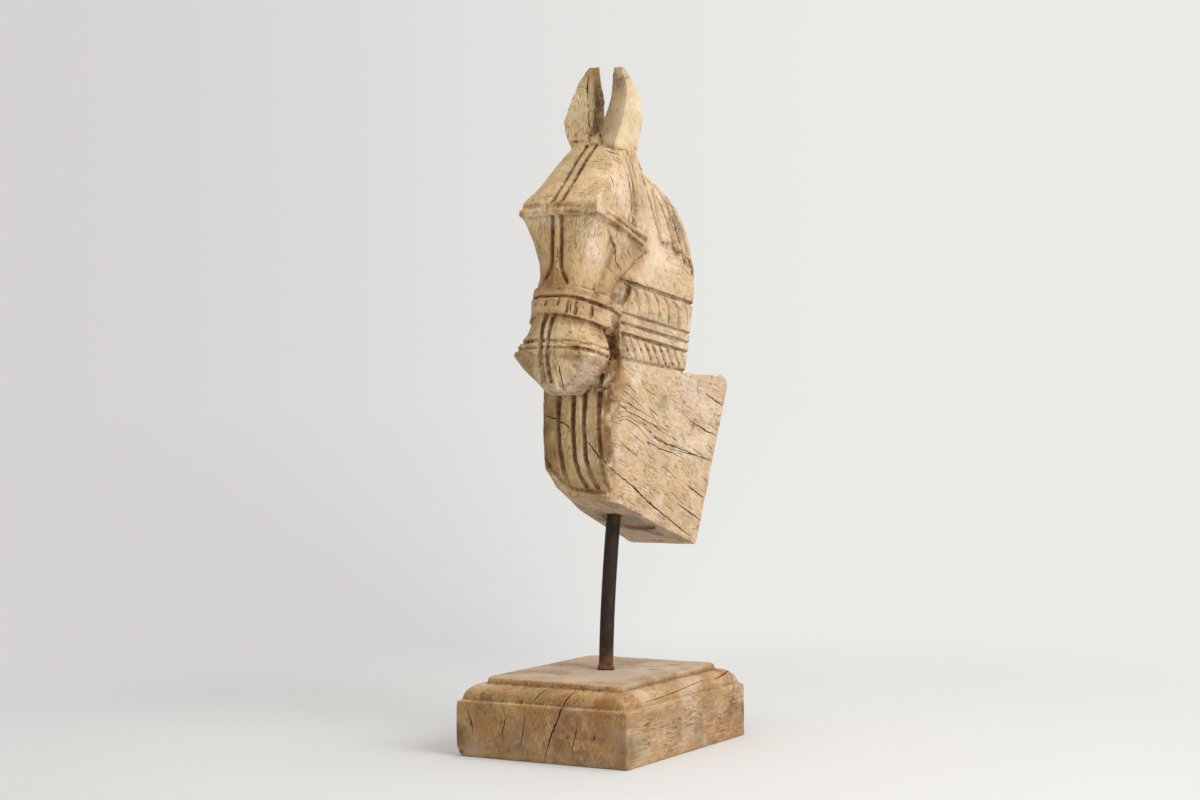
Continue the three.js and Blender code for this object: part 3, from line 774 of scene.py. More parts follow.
FRONT_CRACKS = [
    ((-31, -49, 292.5), (-17, -48, 289), (-6, -48, 283), (-1, -48, 278), 1.3, 3),
    ((13, -48, 270), (25, -48, 256), (35, -48, 249), 1.4, 3.5),
]
HEAD_CRACKS = [
    ((-13, 4, 594), (-15, 6, 583), (-16, 8, 571), 1.2, 3),
    ((-16, 9, 562), (-15, 9, 551), (-10, 3, 540), 0.9, 2),
    ((34, -33, 436), (36, -34, 424), (35, -23, 416), 1.3, 2.5),
    ((-23, -62, 481), (-10, -61, 482), 0.8, 1.6),
    ((13, -96, 340), (13, -90, 327), (10, -80, 313), 1.1, 2.5),
    ((7, -96, 352), (5, -96, 335), (1, -93, 322), 0.9, 2),
    ((19, -82, 389), (19, -84, 379), 1.1, 2.5),
    ((33, 94, 437), (34, 113, 424), 1, 2.5),
    ((34, 12, 513), (34, 25, 503), 0.8, 2),
    ((32, -37, 500), (35, -36, 487), 0.8, 1.8),
    ((14, -16, 524), (23, -17, 521), (31, -13, 516), 1, 2),
]

HEAD_RUST = [
    (34, -38, 318, 16, 0.9), (34, -46, 290, 14, 0.6), (34, -46, 262, 14, 0.6),
    (34, -45, 236, 15, 0.55), (2, -71, 468, 16, 0.45), (36, -30, 460, 15, 0.4),
    (1, -74, 408, 15, 0.75), (-12, -85, 393, 16, 0.7), (33, -60, 392, 18, 0.5),
    (22, -81, 369, 14, 0.45), (35, 27, 371, 15, 0.45), (35, 80, 362, 18, 0.35),
    (-11, 4, 597, 9, 0.8), (20, 1, 597, 9, 0.6), (23, -42, 223, 13, 0.5), (-17, -44, 233, 14, 0.55),
    (23, -92, 347, 13, 0.45), (30, -42, 334, 14, 0.7), (34, 47, 396, 12, 0.4),
    (35, 6, 212, 16, 0.35), (4, -52, 495, 16, 0.3), (-30, -46, 480, 16, 0.4),
    (-18, -48, 262, 15, 0.45), (35, 115, 386, 12, 0.5), (35, -8, 318, 15, 0.35),
    (35, 60, 212, 20, 0.25), (35, 6, 424, 16, 0.35), (34, -30, 300, 14, 0.4),
    (35, 30, 300, 18, 0.2), (-20, -48, 300, 12, 0.4), (-1, -75, 410, 9, 0.8),
    (34, -22, 415, 14, 0.5), (34, 10, 430, 12, 0.4),
]
HEAD_RUST_LINES = [
    ((33, -47, 338), (34, -47, 300), (34, -47, 236), 6.5, 0.85),
    ((-33, -47, 330), (-33, -47, 250), 5, 0.6),
    ((-28, -46, 246), (-14, -45, 236), (1, -44, 231), (24, -43, 226), (36, -42, 224), 6, 0.65),
    ((-32, -66, 463), (0, -73, 463), (33, -56, 460), (36, -20, 452), (36, 8, 443), 4, 0.5),
    ((-28, -80, 391), (0, -93, 396), (28, -72, 389), (34, -52, 384), 6, 0.75),
    ((-28, -82, 371), (0, -95, 376), (30, -74, 368), (34, -55, 362), 5, 0.6),
    ((34, -10, 377), (35, 60, 367), (34, 110, 360), 5, 0.5),
    ((-30, -95, 344), (0, -98, 345), (28, -90, 342), (36, -60, 338), 4.5, 0.5),
    ((-5, -40, 512), (-5, -70, 478), 4, 0.7),
    ((5, -40, 512), (5, -70, 478), 4, 0.7),
    ((-6, -72, 462), (-6, -74, 422), 3.5, 0.5),
    ((5, -72, 462), (5, -74, 422), 3.5, 0.5),
    ((34, -36, 338), (33, -44, 306), 9, 1),
    ((-33, -45, 502), (-35, -66, 474), 5, 0.6),
    ((34, -30, 412), (33, -45, 396), 6, 0.6),
    ((33, 0, 398), (34, 60, 390), (32, 110, 384), 4.5, 0.5),
]
# Dark lines: dirt along the carved grooves and bands, and painted shadow where marked below.
HEAD_DARK_LINES = [
    ((-37, -69, 473), (-21, -68, 475), (3, -68, 473), (34, -71, 470), 1.3, 0.8),
    ((34, -71, 470), (37, -43, 464), (36, -9, 454), (35, 26, 444), 1.4, 0.7),
    ((38, -72, 464), (37, -48, 460), (37, -25, 454), (36, -1, 445), (35, 19, 440), 1.3, 0.8),
    ((-36, -72, 466), (-19, -72, 467), (5, -72, 467), (33, -71, 464), 1.3, 0.8),
    ((36, -69, 460), (35, -35, 455), (36, -13, 447), (35, 11, 438), (35, 23, 435), 1.4, 0.8),
    ((36, -71, 470), (36, -69, 461), 1.5, 0.7),
    ((28, -8, 523), (33, -4, 508), (34, -1, 493), (35, -2, 474), (37, -12, 457), 1.6, 0.6),
    ((29, -3, 522), (33, 3, 508), (35, 5, 493), (35, 5, 475), (37, -4, 455), 1.6, 0.6),
    ((33, 17, 511), (30, 39, 498), (34, 37, 486), (35, 41, 475), (35, 48, 459), 2, 0.6),
    ((30, 49, 496), (34, 62, 481), (35, 66, 470), (35, 72, 453), (35, 78, 446), 2.2, 0.75),
    ((30, 71, 487), (34, 78, 471), (35, 87, 459), (35, 95, 448), (35, 99, 437), 2.2, 0.75),
    # painted shadow under the mane's three raised drops
    ((35, 46, 451), (35, 49, 446), (35, 55, 444), (35, 62, 445), 2.1, 1.3),
    ((35, 71, 446), (35, 74, 440), (34, 80, 438), (34, 87, 439), 2.1, 1.3),
    ((35, 97, 437), (35, 102, 430), (34, 109, 427), (33, 113, 421), 1.6, 1),
    ((34, -28, 410), (34, -14, 409), (35, 0, 407), (35, 8, 405), 2.2, 1.2),
    # painted shadow in the recess behind the chin, down to the chest's top corner
    ((27, -28, 363), (27, -27, 352), (32, -27, 344), (34, -29, 337), 5, 1.6),
    ((34, -29, 337), (33, -34, 331), (31, -41, 323), (29, -46, 315), 6.5, 1),
    ((-28, -2, 534), (-9, -6, 534), (-3, -9, 530), (9, -10, 529), (24, -14, 524), 1.7, 0.65),
    ((0, 0, 541), (4, -4, 536), (7, -8, 530), 1.7, 0.85),
    ((-12, 4, 541), (-8, -5, 535), (-5, -9, 530), 1.6, 0.75),
    ((34, -33, 436), (33, -39, 427), (32, -48, 413), (32, -60, 395), 2, 0.75),
    ((35, 26, 435), (35, 10, 430), (35, -20, 412), (35, -29, 407), (38, -44, 392), 1.8, 0.3),
    ((-9.5, -66, 477), (-8.5, -10, 530), 1.9, 0.75),
    ((0.5, -66, 477), (1.5, -10, 530), 1.9, 0.75),
    ((-6, -71, 463), (-6, -71, 421), (-9, -73, 414), (-15.5, -75, 406), 1.7, 0.85),
    ((2.9, -71, 463), (2.9, -71, 421), (5, -73, 414), (9.7, -77, 405), 1.7, 0.85),
    ((-2.5, -73, 428), (4.5, -73, 428), 1.2, 0.7),
    ((-2.5, -73, 424), (4.5, -73, 424), 1.2, 0.7),
    ((-30, -74, 401), (-20, -75, 402), (4, -79, 401), (23, -74, 398), (32, -62, 393), 1.8, 0.7),
    ((-30, -84, 391), (-1, -90, 392), (15, -86, 390), (27, -77, 387), (35, -58, 382), 1.5, 0.6),
    ((-28, -86, 379), (1, -93, 379), (16, -86, 376), (26, -75, 371), (33, -54, 367), 2, 0.7),
    ((37, -42, 384), (34, -31, 367), 1.4, 0.7),
    ((37, -31, 384), (34, -26, 367), 1.4, 0.6),
    ((-2, -88, 378), (-5, -90, 368), (-5, -92, 358), (-2, -97, 344), (-2, -91, 319), 1.9, 0.9),
    ((6, -88, 378), (2, -91, 368), (2, -95, 354), (3, -96, 339), (5, -92, 320), 1.5, 0.8),
    ((-33, -90, 345), (-15, -97, 348), (2, -98, 347), (18, -96, 346), (31, -90, 341),
     (34, -50, 333), 1.5, 0.65),
    ((-30, -89, 351), (-13, -96, 353), (3, -96, 352), (19, -94, 350), (32, -90, 345), 1.4, 0.3),
    # painted shadow in the slit behind the chin
    ((33, -48, 364), (27, -28, 354), (30, -27, 344), (34, -27, 338), 4.2, 1),
    ((32, -3, 404), (32, -9, 394), (35, -19, 388), 2, 0.7),
    ((35, -26, 388), (33, -20, 396), (32, -10, 402), 3, 0.6),
    ((25, -47, 334), (25, -47, 284), (26, -48, 249), (28, -45, 234), (32, -41, 226), 2.4, 0.8),
    # painted shade at the top of the chest's front-right corner and down that corner
    ((34, -28, 338), (34, -36, 328), (33, -44, 318), 5.5, 1.1),
    ((33, -46, 320), (33, -47, 300), (33, -48, 270), 2.8, 0.5),
    ((-32, -45, 256), (-24, -45, 244), (-13, -44, 232), (-3, -43, 227), (12, -43, 226),
     (34, -39, 224), 1.8, 0.6),
    # painted shadow on the underside of the chest block, round the recess where the rod enters
    ((-12, 2, 205), (-2, -4, 206), (8, 0, 205), 4, 0.6),
    ((24, 30, 197), (33, 44, 191), 3, 0.7),
    # painted shade in the hollow between the ears
    ((-9, -2, 600), (-7, 6, 583), (-3, 8, 560), (-1, 6, 545), 2.4, 0.5),
]
# Stains with painted shade: dark patches on the chest's front, the jaw, below the chin, the nose,
# noseband and muzzle, and the ears' fronts.
HEAD_STAINS_AND_SHADE = [
    (-24, -48, 288, 16, 0.75), (-22, -47, 258, 16, 0.9), (-28, -48, 268, 13, 0.6),
    (-6, -46, 236, 14, 0.4), (35, -2, 432, 12, 0.7), (35, -20, 428, 13, 0.75),
    (34, -36, 414, 12, 0.75), (33, -50, 399, 12, 0.7), (36, 14, 437, 8, 0.6),
    (-1, -75, 412, 11, 0.7), (-20, -72, 440, 14, 0.45), (-22, -71, 414, 14, 0.5),
    (-20, -80, 392, 14, 0.6), (10, -86, 386, 15, 0.45), (30, -66, 382, 12, 0.55),
    (-26, -88, 366, 14, 0.6), (-22, -88, 332, 16, 0.75), (2, -95, 352, 12, 0.45),
    (28, -88, 350, 13, 0.45), (-24, -50, 488, 20, 0.35), (-18, -20, 515, 16, 0.3),
    (19, -2, 578, 13, 0.55), (16, -4, 552, 14, 0.6), (-24, 2, 556, 13, 0.25),
    (-12, 2, 590, 10, 0.45), (33, -44, 300, 11, 0.6), (33, -42, 245, 12, 0.5),
    (34, -34, 326, 14, 0.8), (36, 50, 303, 13, 0.4), (20, -46, 232, 14, 0.4),
    (34, 20, 383, 10, 0.3), (34, 70, 377, 10, 0.3), (2, -70, 500, 10, 0.3),
]
# Dark spots: painted shade in the recess and slit behind the chin, under the mane's drops, at the feet
# of the collar's petals, on the left ear's front and under the muzzle, and darker mottling with painted
# shade on the chest's front.
HEAD_DARK_SPOTS = [
    (29, -28, 353, 9, 1.2), (34, -27, 339, 6, 1), (34, -36, 329, 8, 0.9), (34, -34, 395, 8, 0.75),
    (31, -22, 394, 7, 0.75), (36, 67, 463, 6, 0.5), (35, 88, 452, 6, 0.6), (36, 50, 304, 5, 0.45),
    (-28, -47, 262, 12, 0.5), (31, -44, 240, 6, 0.4), (-24, -86, 334, 8, 0.35),
    (19, 0, 589, 9, 0.65), (-26, -48, 292, 10, 0.4), (-27, -47, 278, 8, 0.4), (34, 9, 388, 3, 0.9),
    (34, 28, 384, 3, 0.9), (34, 46, 381, 3, 0.8), (34, 64, 378, 3, 0.8), (35, 82, 375, 3, 0.7),
    (34, 8, 343, 3, 0.7), (34, 30, 341, 3, 0.7), (34, 47, 339, 3, 0.8), (34, 64, 337, 3, 0.8),
    (9, -9, 531, 4, 0.6),
]
HEAD_CLEAN_SPOTS = [
    (33, -36, 375, 10, 0.9), (28, -44, 372, 7, 0.6), (5, 8, 203, 16, 0.9), (20, 14, 202, 16, 0.9),
    (-10, 20, 203, 16, 0.9), (10, 40, 198, 18, 0.9), (10, 56, 192, 16, 0.9), (26, 40, 194, 14, 0.9),
]
HEAD_BLEACHED = [
    (34, 1, 560, 24, 0.9), (30, -2, 535, 14, 0.5), (33, -62, 432, 13, 0.7), (-26, 2, 558, 20, 0.45),
    (34, 40, 440, 24, 0.3), (33, 30, 478, 18, 0.3), (30, -66, 452, 12, 0.4),
    (35, 50, 425, 26, 0.35), (34, -20, 490, 16, 0.4), (30, -88, 325, 10, 0.5),
    (35, 60, 370, 14, 0.45), (35, 20, 372, 14, 0.45), (35, 95, 364, 14, 0.45),
    (36, 110, 300, 24, 0.3), (35, 10, 346, 12, 0.4), (35, 50, 342, 14, 0.4), (35, 88, 350, 16, 0.4),
    (35, 110, 372, 12, 0.4),
]
# Painted shade down the chest block's front corners.
CHEST_CORNER_SHADE = [
    ((31, -43, 330), (31, -43, 300), (31, -43, 255), (32, -42, 236), 8.5, 0.78),
    ((34, -32, 335), (33, -38, 322), (33, -41, 306), 8, 1.15),
    ((-31, -46, 312), (-31, -46, 268), (-28, -46, 250), 10, 0.55),
]
# Stain with painted shade down the chest's front corners and along the noseband and brow band.
STAIN_AND_SHADE_LINES = [
    ((29, -47, 336), (30, -47, 300), (30, -47, 255), (31, -44, 232), 6.5, 0.95),
    ((-31, -46, 300), (-31, -46, 262), (-27, -45, 245), 8, 0.9),
    ((-30, -76, 396), (4, -82, 397), (28, -72, 392), 4, 0.5),
    ((-33, -70, 470), (5, -70, 471), (33, -70, 468), 3, 0.45),
]
# Painted shade in the hollow between the ears.
EAR_HOLLOW_SHADE = [
    (-1, 6, 583, 12, 1), (-1, 6, 567, 12, 1.1), (-3, 6, 552, 12, 1.1), (-6, 4, 543, 8, 0.8),
]
HEAD_GREY = [
    (36, 19, 478, 13, 0.55), (35, 77, 463, 13, 0.6), (22, -1, 586, 11, 0.85),
    (3, 35, 197, 22, 0.75), (9, 52, 192, 18, 0.7), (20, -1, 588, 10, 0.9), (-8, 9, 203, 26, 0.4),
    (38, 125, 318, 24, 0.18), (31, -18, 401, 13, 0.8), (26, -27, 348, 14, 0.7),
    (12, -89, 379, 10, 0.4), (25, -74, 327, 9, 0.25), (-20, -94, 344, 16, 0.3),
    (37, 97, 304, 20, 0.12),
]

CHEST_FRONT = [(218, -38), (222, -42), (248, -47), (280, -49), (316, -48), (345, -48)]
CORNER_RADII = {1: 10.0, -1: 6.0}


def round_corners(points):
    """Rounds the two upright front corners of the chest block."""
    heights, fronts = zip(*CHEST_FRONT)
    moved = points.copy()
    front = np.interp(points[:, 2], heights, fronts)
    for side, radius in CORNER_RADII.items():
        size = radius * ramp(points[:, 2], 338, 322) + 0.01
        middle_x = 33.2 - size
        middle_y = front + size
        out_x = side * points[:, 0] - middle_x
        out_y = points[:, 1] - middle_y
        reach = np.hypot(out_x, out_y) + 1e-9
        corner = (out_x > 0) & (out_y < 0) & (reach > size) & (points[:, 2] < 338)
        corner &= (points[:, 1] > front - 3) & (side * points[:, 0] < 37)
        pull = (size / reach)[corner]
        moved[corner, 0] = side * (middle_x[corner] + out_x[corner] * pull)
        moved[corner, 1] = middle_y[corner] + out_y[corner] * pull
    return moved


def set_fields(mesh, fields):
    for name, values in fields.items():
        store(mesh, name, np.clip(values, 0, 1) if values.ndim == 1 else values)


def block(points, normals):
    place = between(points[:, 2], 205, 318) & (points[:, 1] > -35)
    return place & (normals[:, 2] < 0.5) & (np.abs(normals[:, 1]) < 0.3)


def behind(points, normals):
    return (points[:, 2] < 325) & (normals[:, 1] > 0.6) & (points[:, 1] > 60)


def upper(points, normals):
    return between(points[:, 2], 400, 530) & (np.abs(normals[:, 2]) < 0.6)


def jaw(points, normals):
    place = between(points[:, 1], -38, 22) & between(points[:, 2], 402, 442)
    return place & (normals[:, 0] > 0.4)


def brow(points, normals):
    place = between(points[:, 2], 480, 528) & (points[:, 1] < -8) & (points[:, 0] > 6)
    return place & (normals[:, 1] < -0.3)


# Small cracks: where, which way, how many, their lengths, width and depth.
HEAD_SCATTER = [
    (block, head_heading, 54, (9, 30), 0.65, 1.8),
    (behind, head_heading, 16, (8, 24), 0.9, 2.0),
    (upper, head_heading, 30, (5, 13), 0.6, 1.4),
    (jaw, lambda *_: np.array([0, 0.75, -0.65]), 44, (6, 13), 0.5, 1.0),
    (brow, lambda *_: np.array([1.0, 0.2, -0.1]), 20, (6, 11), 0.45, 0.9),
]
HEAD_VOXEL = 0.75
HEAD_TRIANGLES = 166000
HEAD_SEED = 41


def split_open(obj, cracks, zones, dark, seed):
    """Cuts the placed cracks and the scattered ones out of a piece."""
    rng = np.random.default_rng(seed)
    blades = [blade(obj, line, width, depth, rng) for *line, width, depth in cracks]
    for zone in zones:
        blades += scattered(obj, *zone, rng)
    cut_cracks(obj, blades, dark)


def carving():
    box = [tuple(corner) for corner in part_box("horse_head")]
    obj = dense_copy("horse_head", "carved_head", HEAD_VOXEL)
    table, near, wide = weathered(obj, box, head_relief, 0.8, rounded=round_corners)
    thin_out(obj, HEAD_TRIANGLES)
    obj.data.materials.append(wood("weathered_carving", HEAD_TONES))
    cracks = SIDE_CRACKS + FRONT_CRACKS + HEAD_CRACKS
    dark = plain_dark("crack_walls", (0.035, 0.018, 0.009))
    split_open(obj, cracks, HEAD_SCATTER, dark, HEAD_SEED)

    points, normals = vertex_table(obj.data)
    near, wide = carried(table, points, near, wide)
    y, z = points[:, 1], points[:, 2]
    forward, down = -normals[:, 1], -normals[:, 2]
    rough = noise(points, 3.5, 21)
    blotch = noise(points, 14, 22)
    both = rough + blotch
    diagonal, upright = head_fibres(points)
    on_collar = ramp(np.abs(normals[:, 0]), 0.3, 0.6) * ramp(y, -24, -14)
    on_collar *= ramp(z, 328, 336) * ramp(z, 412, 404)
    near = near * (1 - 0.3 * on_collar)
    wide = wide * (1 - 0.75 * on_collar)

    faded = ramp(rough + 0.8 * blotch, -2.0, 0.3)
    # Darkest tone: dirt in the hollows with painted shade deep in grooves and recesses, painted shadow
    # from the dark lines and spots behind the chin, under the mane's drops and between the ears, and
    # painted shade down the chest's front corners.
    dirt_and_shade = 0.88 * ramp(near, 0.12, 0.55) + 0.6 * ramp(wide, 0.7, 2.4)
    dirt_and_shade *= 0.5 + 0.5 * ramp(blotch + 0.6 * rough, -0.6, 0.4)
    # dark lines: dirt in the grooves and painted shadow in recesses
    dark = lines_near(points, HEAD_DARK_LINES) * faded
    # painted shade between the ears, on the faces that turn towards -X
    hollow = blobs(points, EAR_HOLLOW_SHADE) * ramp(-normals[:, 0], 0.02, 0.25)
    # dark spots: mostly painted shade in recesses and under the mane's drops
    spots = blobs(points, HEAD_DARK_SPOTS) * ramp(rough, -1.2, 0.4)
    # painted shade down the chest's front corners
    corner_shade = lines_near(points, CHEST_CORNER_SHADE) * faded
    dirt_and_shade = np.max([dirt_and_shade, dark, 0.85 * hollow, spots, corner_shade], axis=0)
    dirt_and_shade *= 1 - np.minimum(blobs(points, HEAD_CLEAN_SPOTS), 0.85)
    dirt_and_shade *= 1 - 0.5 * ramp(z, 262, 240) * ramp(forward, 0.1, 0.4)
    beneath = ramp(down, 0.5, 0.85) * ramp(z, 224, 208)
    dirt_and_shade *= 1 - 0.9 * beneath
    dirt_and_shade += 0.7 * beneath * ramp(both, 0.35, 0.9)

    broad = [(*line, 2.6 * radius, strength) for *line, radius, strength in HEAD_DARK_LINES]
    halo = lines_near(points, broad)
    rust = np.maximum(blobs(points, HEAD_RUST), lines_near(points, HEAD_RUST_LINES))
    rust *= ramp(both, -1.1, 0.5)
    rust += 0.5 * ramp(wide, 0.35, 1.6) * ramp(blotch, -0.5, 0.5) + 0.5 * halo * ramp(blotch, -0.9, 0.4)
    # Stain tone with painted shade on front-facing zones and in broad hollows.
    stain_and_shade = np.maximum(blobs(points, HEAD_STAINS_AND_SHADE), lines_near(points, STAIN_AND_SHADE_LINES))
    stain_and_shade *= ramp(both, -1.5, 0.1)
    stain_and_shade += 0.15 * ramp(noise(points, 22, 23), 0.0, 0.7) + 0.35 * ramp(wide, 0.2, 1.2)
    grey = blobs(points, HEAD_GREY) * ramp(both, -1.1, 0.5)
    grey += 0.35 * ramp(down, 0.3, 0.8) + 0.08 * ramp(blotch, 0.35, 0.8)
    set_fields(obj.data, {
        "dirt_and_shade": dirt_and_shade * (0.85 + 0.25 * rough),
        "stain_and_shade": np.minimum(stain_and_shade, 0.9),
        "front": ramp(forward, 0.3, 0.75),
        "edge": 0.6 * ramp(-near, 0.12, 0.5) * ramp(blotch, -0.6, 0.4),
        "rust": rust,
        "bleached": blobs(points, HEAD_BLEACHED) * ramp(both, -1.6, 0.6),
        "grey": grey,
        "facing": head_facing(points, normals),
        "fibre": diagonal,
        "upright": upright,
    })
    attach(obj, "root")
    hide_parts("horse_head")
    return obj


# Plinth

BASE_CRACKS = [
    ((31, -92, 67), (30, -97, 64), (24, -106, 56), (22, -108, 48), (17.6, -108, 37), (10, -108, 20),
     (4.5, -108, 1), 1.5, 5),
    ((2, -92, 66), (0, -98, 62), (-4, -104, 57), (-9, -107, 50), 1.2, 3),
    ((-73, -108, 42), (-69, -108, 31), (-66.5, -108, 21), 1.3, 3),
    ((-36, -108, 45), (-34, -108, 36), (-36.5, -108, 25), (-36.3, -108, 14), 0.9, 3),
    ((-15, -108, 46), (-15, -108, 34), (-17, -108, 22), (-18.3, -108, 12), 1, 3),
    ((38, -108, 41), (36, -108, 28), (32, -108, 14), (33, -108, 5), 0.8, 2.5),
    ((55.5, -108, 30), (52, -108, 22), 1, 2.5),
    ((82, 60, 57), (79, 84, 60), (74, 99, 61), 1.2, 3),
    ((82, -88, 51), (82, -36, 53), (79, 28, 57), (78, 58, 59), 0.6, 1.6),
]
BASE_RUST = [
    (-50, -108, 22, 22, 0.5), (-8, -108, 30, 18, 0.4), (32, -108, 22, 20, 0.75),
    (58, -108, 20, 16, 0.6), (20, -104, 57, 20, 0.5), (55, -104, 57, 20, 0.55),
    (85, -40, 25, 26, 0.3), (85, 60, 22, 26, 0.3), (80, 90, 62, 24, 0.55),
]
# Grey patches; the two on the top, with the grey tone given to the whole top, make it paler: its own
# greyer colour and painted light from above.
BASE_GREY = [
    (-62, -108, 8, 18, 0.5), (-20, -108, 6, 26, 0.45), (20, -108, 10, 14, 0.35),
    (72, -108, 20, 14, 0.5), (18, -108, 33, 12, 0.45), (85, -85, 20, 20, 0.45),
    (45, -108, 3, 22, 0.6), (-70, -108, 3, 16, 0.4), (85, 20, 36, 24, 0.35),
    (85, -20, 36, 22, 0.35), (30, 20, 67, 34, 0.8), (0, -50, 67, 34, 0.35),
]
BASE_STAINS = [
    (-80, -108, 20, 18, 0.7), (-30, -108, 6, 20, 0.6), (14, -108, 8, 18, 0.55),
    (84, -106, 12, 18, 0.5), (84, -106, 40, 10, 0.5), (-60, -106, 50, 16, 0.5),
    (48, -108, 30, 16, 0.5), (-50, -100, 58, 20, 0.4), (85, 30, 10, 30, 0.4),
    (85, 100, 20, 20, 0.5), (82, 92, 62, 20, 0.4), (79, -60, 58, 22, 0.4), (79, -10, 58, 22, 0.35),
    (79, 40, 58, 22, 0.4),
]


def base_relief(points, normals):
    """Depth in mm of the plinth's worn surface below the CAD surface."""
    fibre = np.stack([points[:, 0], points[:, 1] / 7, points[:, 2]], 1)
    depth = 0.25 + 0.12 * noise(fibre, 2.8, 31) + 0.18 * noise(fibre, 8, 32)
    depth += 0.3 * furrow(fibre, 4.0, 35) * ramp(noise(points, 22, 36), -0.6, 0.4)
    return depth + 0.25 * noise(points, 26, 33) + 0.3 * ramp(noise(points, 5, 34), 0.5, 0.8)


def underside(points, normals):
    return points[:, 2] < 0.6


def flanks(points, normals):
    place = between(points[:, 2], 6, 62) & (np.abs(points[:, 1]) < 95)
    return place & (np.abs(normals[:, 0]) > 0.8)


def far_end(points, normals):
    return between(points[:, 2], 8, 44) & (normals[:, 1] > 0.8)


def base_heading(place, normal):
    if abs(normal[1]) > 0.8:
        return np.array([0.1, 0, -1.0])
    return np.array([0.0, 1.0, 0.03])


BASE_SCATTER = [
    (flanks, base_heading, 14, (10, 34), 0.6, 1.4),
    (far_end, base_heading, 9, (10, 28), 0.9, 2.4),
]
BASE_VOXEL = 1.1
BASE_TRIANGLES = 120000
BASE_SEED = 7
STEM_VOXEL = 0.8


def plinth():
    box = [tuple(corner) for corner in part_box("base")]
    obj = dense_copy("base", "worn_plinth", BASE_VOXEL)
    table, near, wide = weathered(obj, box, base_relief, 0.4, underside)
    thin_out(obj, BASE_TRIANGLES)
    obj.data.materials.append(wood("worn_plinth_wood", BASE_TONES))
    dark = plain_dark("plinth_crack_walls", (0.05, 0.02, 0.008))
    split_open(obj, BASE_CRACKS, BASE_SCATTER, dark, BASE_SEED)

    points, normals = vertex_table(obj.data)
    near, wide = carried(table, points, near, wide)
    rough = noise(points, 4, 41)
    blotch = noise(points, 16, 42)
    end_grain = ramp(np.abs(normals[:, 1]), 0.5, 0.9)
    fibre = np.stack([points[:, 0] * 0.8, points[:, 1] / 9, points[:, 2] * 0.8], 1)
    ends = np.stack([points[:, 0] * 0.8, points[:, 1], points[:, 2] * 0.4], 1)
    mask = ramp(rough + blotch, -0.9, 0.7)
    # The top takes the paler grey tone: its own greyer colour and painted light from above.
    top = ramp(normals[:, 2], 0.85, 0.97) * ramp(points[:, 2], 64, 66)
    stain_and_shade = blobs(points, BASE_STAINS) * mask + 0.35 * ramp(noise(points, 20, 43), 0.0, 0.6)
    set_fields(obj.data, {
        # Darkest tone: dirt in the hollows with painted shade in the recesses, and darker end grain.
        "dirt_and_shade": 0.6 * ramp(near, 0.1, 0.5) + 0.45 * ramp(wide, 0.5, 2.2) + 0.16 * end_grain,
        "edge": 0.7 * ramp(-near, 0.10, 0.45) * ramp(blotch, -0.7, 0.4),
        "rust": blobs(points, BASE_RUST) * mask + 0.12 * end_grain,
        "grey": blobs(points, BASE_GREY) * mask + 0.6 * top,
        "bleached": 0.5 * ramp(noise(points, 24, 44), 0.1, 0.7) * (1 - top),
        "stain_and_shade": stain_and_shade,
        "front": ramp(-normals[:, 1], 0.4, 0.8),
        "facing": end_grain,
        "fibre": fibre,
        "upright": ends,
    })
    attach(obj, "root")
    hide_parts("base")
    return obj


def stem():
    box = [tuple(corner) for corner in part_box("rod")]
    obj = dense_copy("rod", "iron_stem", STEM_VOXEL)

    def hammered(points, normals):
        long = points * np.array([1, 1, 0.35])
        return 0.06 + 0.05 * noise(long, 5, 51) + 0.05 * noise(points, 2.4, 52)

    weathered(obj, box, hammered)
    points, _ = vertex_table(obj.data)
    spread = noise(points, 5, 53)
    foot = ramp(points[:, 2], 92, 68) * ramp(spread, -1.0, 0.2)
    head = 0.35 * ramp(points[:, 2], 190, 200) * ramp(spread, -0.5, 0.5)
    set_fields(obj.data, {"rust": foot + head + 0.12 * ramp(spread, 0.2, 0.7)})
    obj.data.materials.append(iron("dark_iron"))
    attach(obj, "root")
    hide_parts("rod")
    return obj


for piece in (carving(), plinth(), stem()):
    piece.data.polygons.foreach_set("use_smooth", [True] * len(piece.data.polygons))
    piece.data.set_sharp_from_angle(angle=math.radians(55))

# Studio

BACKDROP_LEFT = (0.675, 0.655, 0.65)
BACKDROP_RIGHT = (0.825, 0.825, 0.80)
FLOOR_SIDES = 64
FLOOR_RADIUS = 30.0
CAMERA_PLACE = (0.9796, -1.6791, 0.3104)
CAMERA_TURN = (89.84, 0.5, 30.293)
LENS = 66

# Each light: name, place, target, size, power and colour.
LIGHTS = [
    ("key", (2.1, -0.35, 1.5), (0, 0, 0.3), 1.5, 36, (1.0, 0.97, 0.93)),
    ("overhead", (0.3, 0.3, 2.6), (0, 0, 0.2), 2.4, 40, (1.0, 0.98, 0.95)),
    ("front_fill", (0.2, -2.6, 1.2), (0, 0, 0.3), 2.0, 10, (1.0, 0.99, 0.97)),
]


def backdrop(nodes, direction):
    """The pale backdrop, with painted shade that makes it a little darker towards its left."""
    across = nodes.vector("DOT_PRODUCT", direction, (0.864, 0.504, 0.0))
    return nodes.mix(nodes.span(across, -0.26, 0.14), BACKDROP_LEFT, BACKDROP_RIGHT)


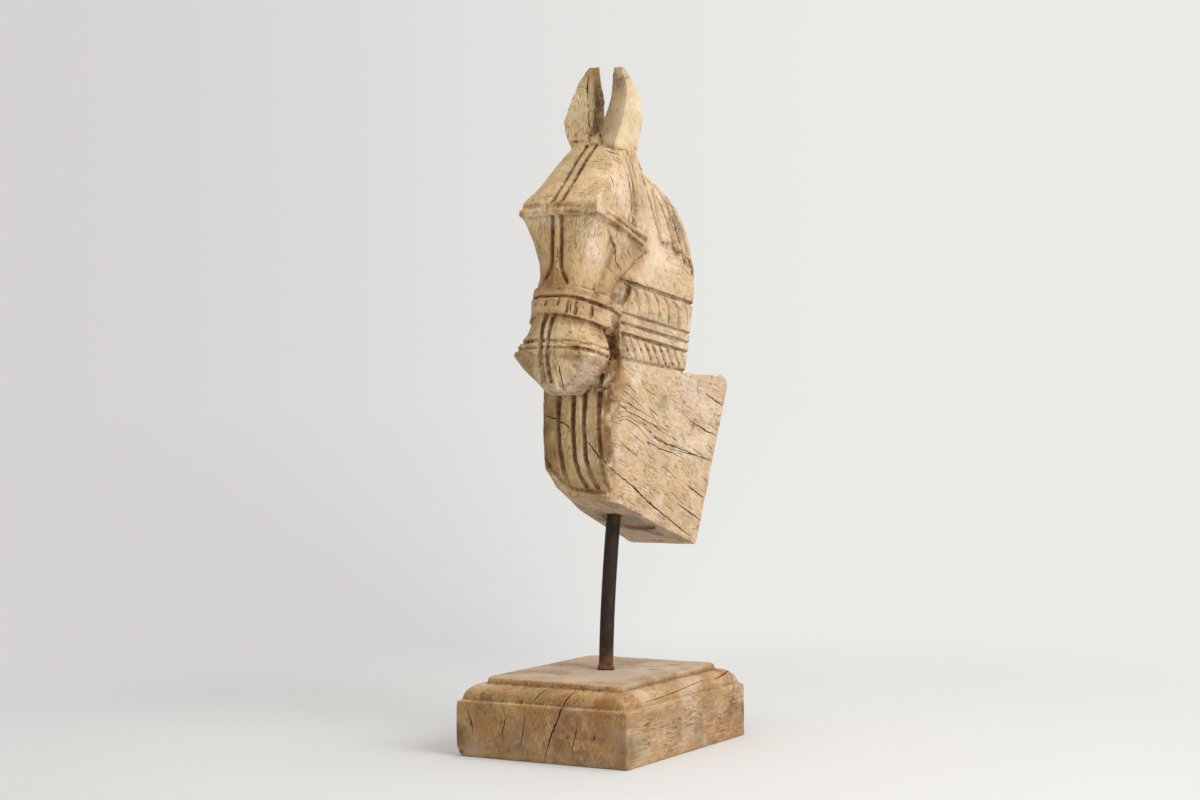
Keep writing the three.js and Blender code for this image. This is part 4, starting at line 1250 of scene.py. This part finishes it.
def studio_floor():
    """A wide floor that fades into the backdrop: its far part glows with the backdrop's colour, as
    painted light.
    """
    mesh = bpy.data.meshes.new("studio_floor")
    turns = [2 * math.pi * i / FLOOR_SIDES for i in range(FLOOR_SIDES)]
    ring = [(FLOOR_RADIUS * math.cos(turn), FLOOR_RADIUS * math.sin(turn), 0) for turn in turns]
    mesh.from_pydata(ring, [], [tuple(range(FLOOR_SIDES))])
    floor = linked("studio_floor", mesh)
    look = Look("pale_floor")
    place = look.place()
    far = look.span(look.vector("LENGTH", place), 0.22, 1.0)
    tone = look.mix(look.noise(place, 3.0), (0.655, 0.655, 0.655), (0.685, 0.685, 0.685))
    look.shade(Base_Color=tone, Roughness=0.9)
    sky = backdrop(look, look.vector("NORMALIZE", place))
    # painted light: the far floor glows with the backdrop's colour and its painted shade
    glow = look.node("ShaderNodeEmission", Color=sky, Strength=1.0)
    look.feed(look.output.inputs[0], look.blend(far, look.shader, glow))
    mesh.materials.append(look.material)


def area_light(name, place, target, size, power, colour):
    light = bpy.data.lights.new(name, "AREA")
    light.shape = "DISK"
    light.size = size
    light.energy = power
    light.color = colour
    obj = linked(name, light)
    obj.location = place
    obj.rotation_euler = (Vector(target) - Vector(place)).to_track_quat("-Z", "Y").to_euler()


def studio_world():
    """The backdrop as the camera sees it, and a warm fill light from all round."""
    world = bpy.data.worlds.new("studio")
    world.use_nodes = True
    nodes = Nodes(world.node_tree)
    direction = nodes.node("ShaderNodeTexCoord").outputs["Generated"]
    seen = nodes.node("ShaderNodeBackground", Color=backdrop(nodes, direction))
    fill = nodes.node("ShaderNodeBackground", Color=(1.0, 0.985, 0.96), Strength=0.42)
    camera_ray = nodes.node("ShaderNodeLightPath").outputs["Is Camera Ray"]
    nodes.node("ShaderNodeOutputWorld", Surface=nodes.blend(camera_ray, fill, seen))
    bpy.context.scene.world = world


def photo_camera():
    data = bpy.data.cameras.new("photo_camera")
    data.sensor_width = 36
    data.lens = LENS
    data.clip_end = 100
    camera = linked("photo_camera", data)
    camera.location = CAMERA_PLACE
    camera.rotation_euler = [math.radians(turn) for turn in CAMERA_TURN]
    bpy.context.scene.camera = camera


studio_floor()
studio_world()
for light in LIGHTS:
    area_light(*light)
photo_camera()
bpy.context.scene.view_settings.view_transform = "Standard"
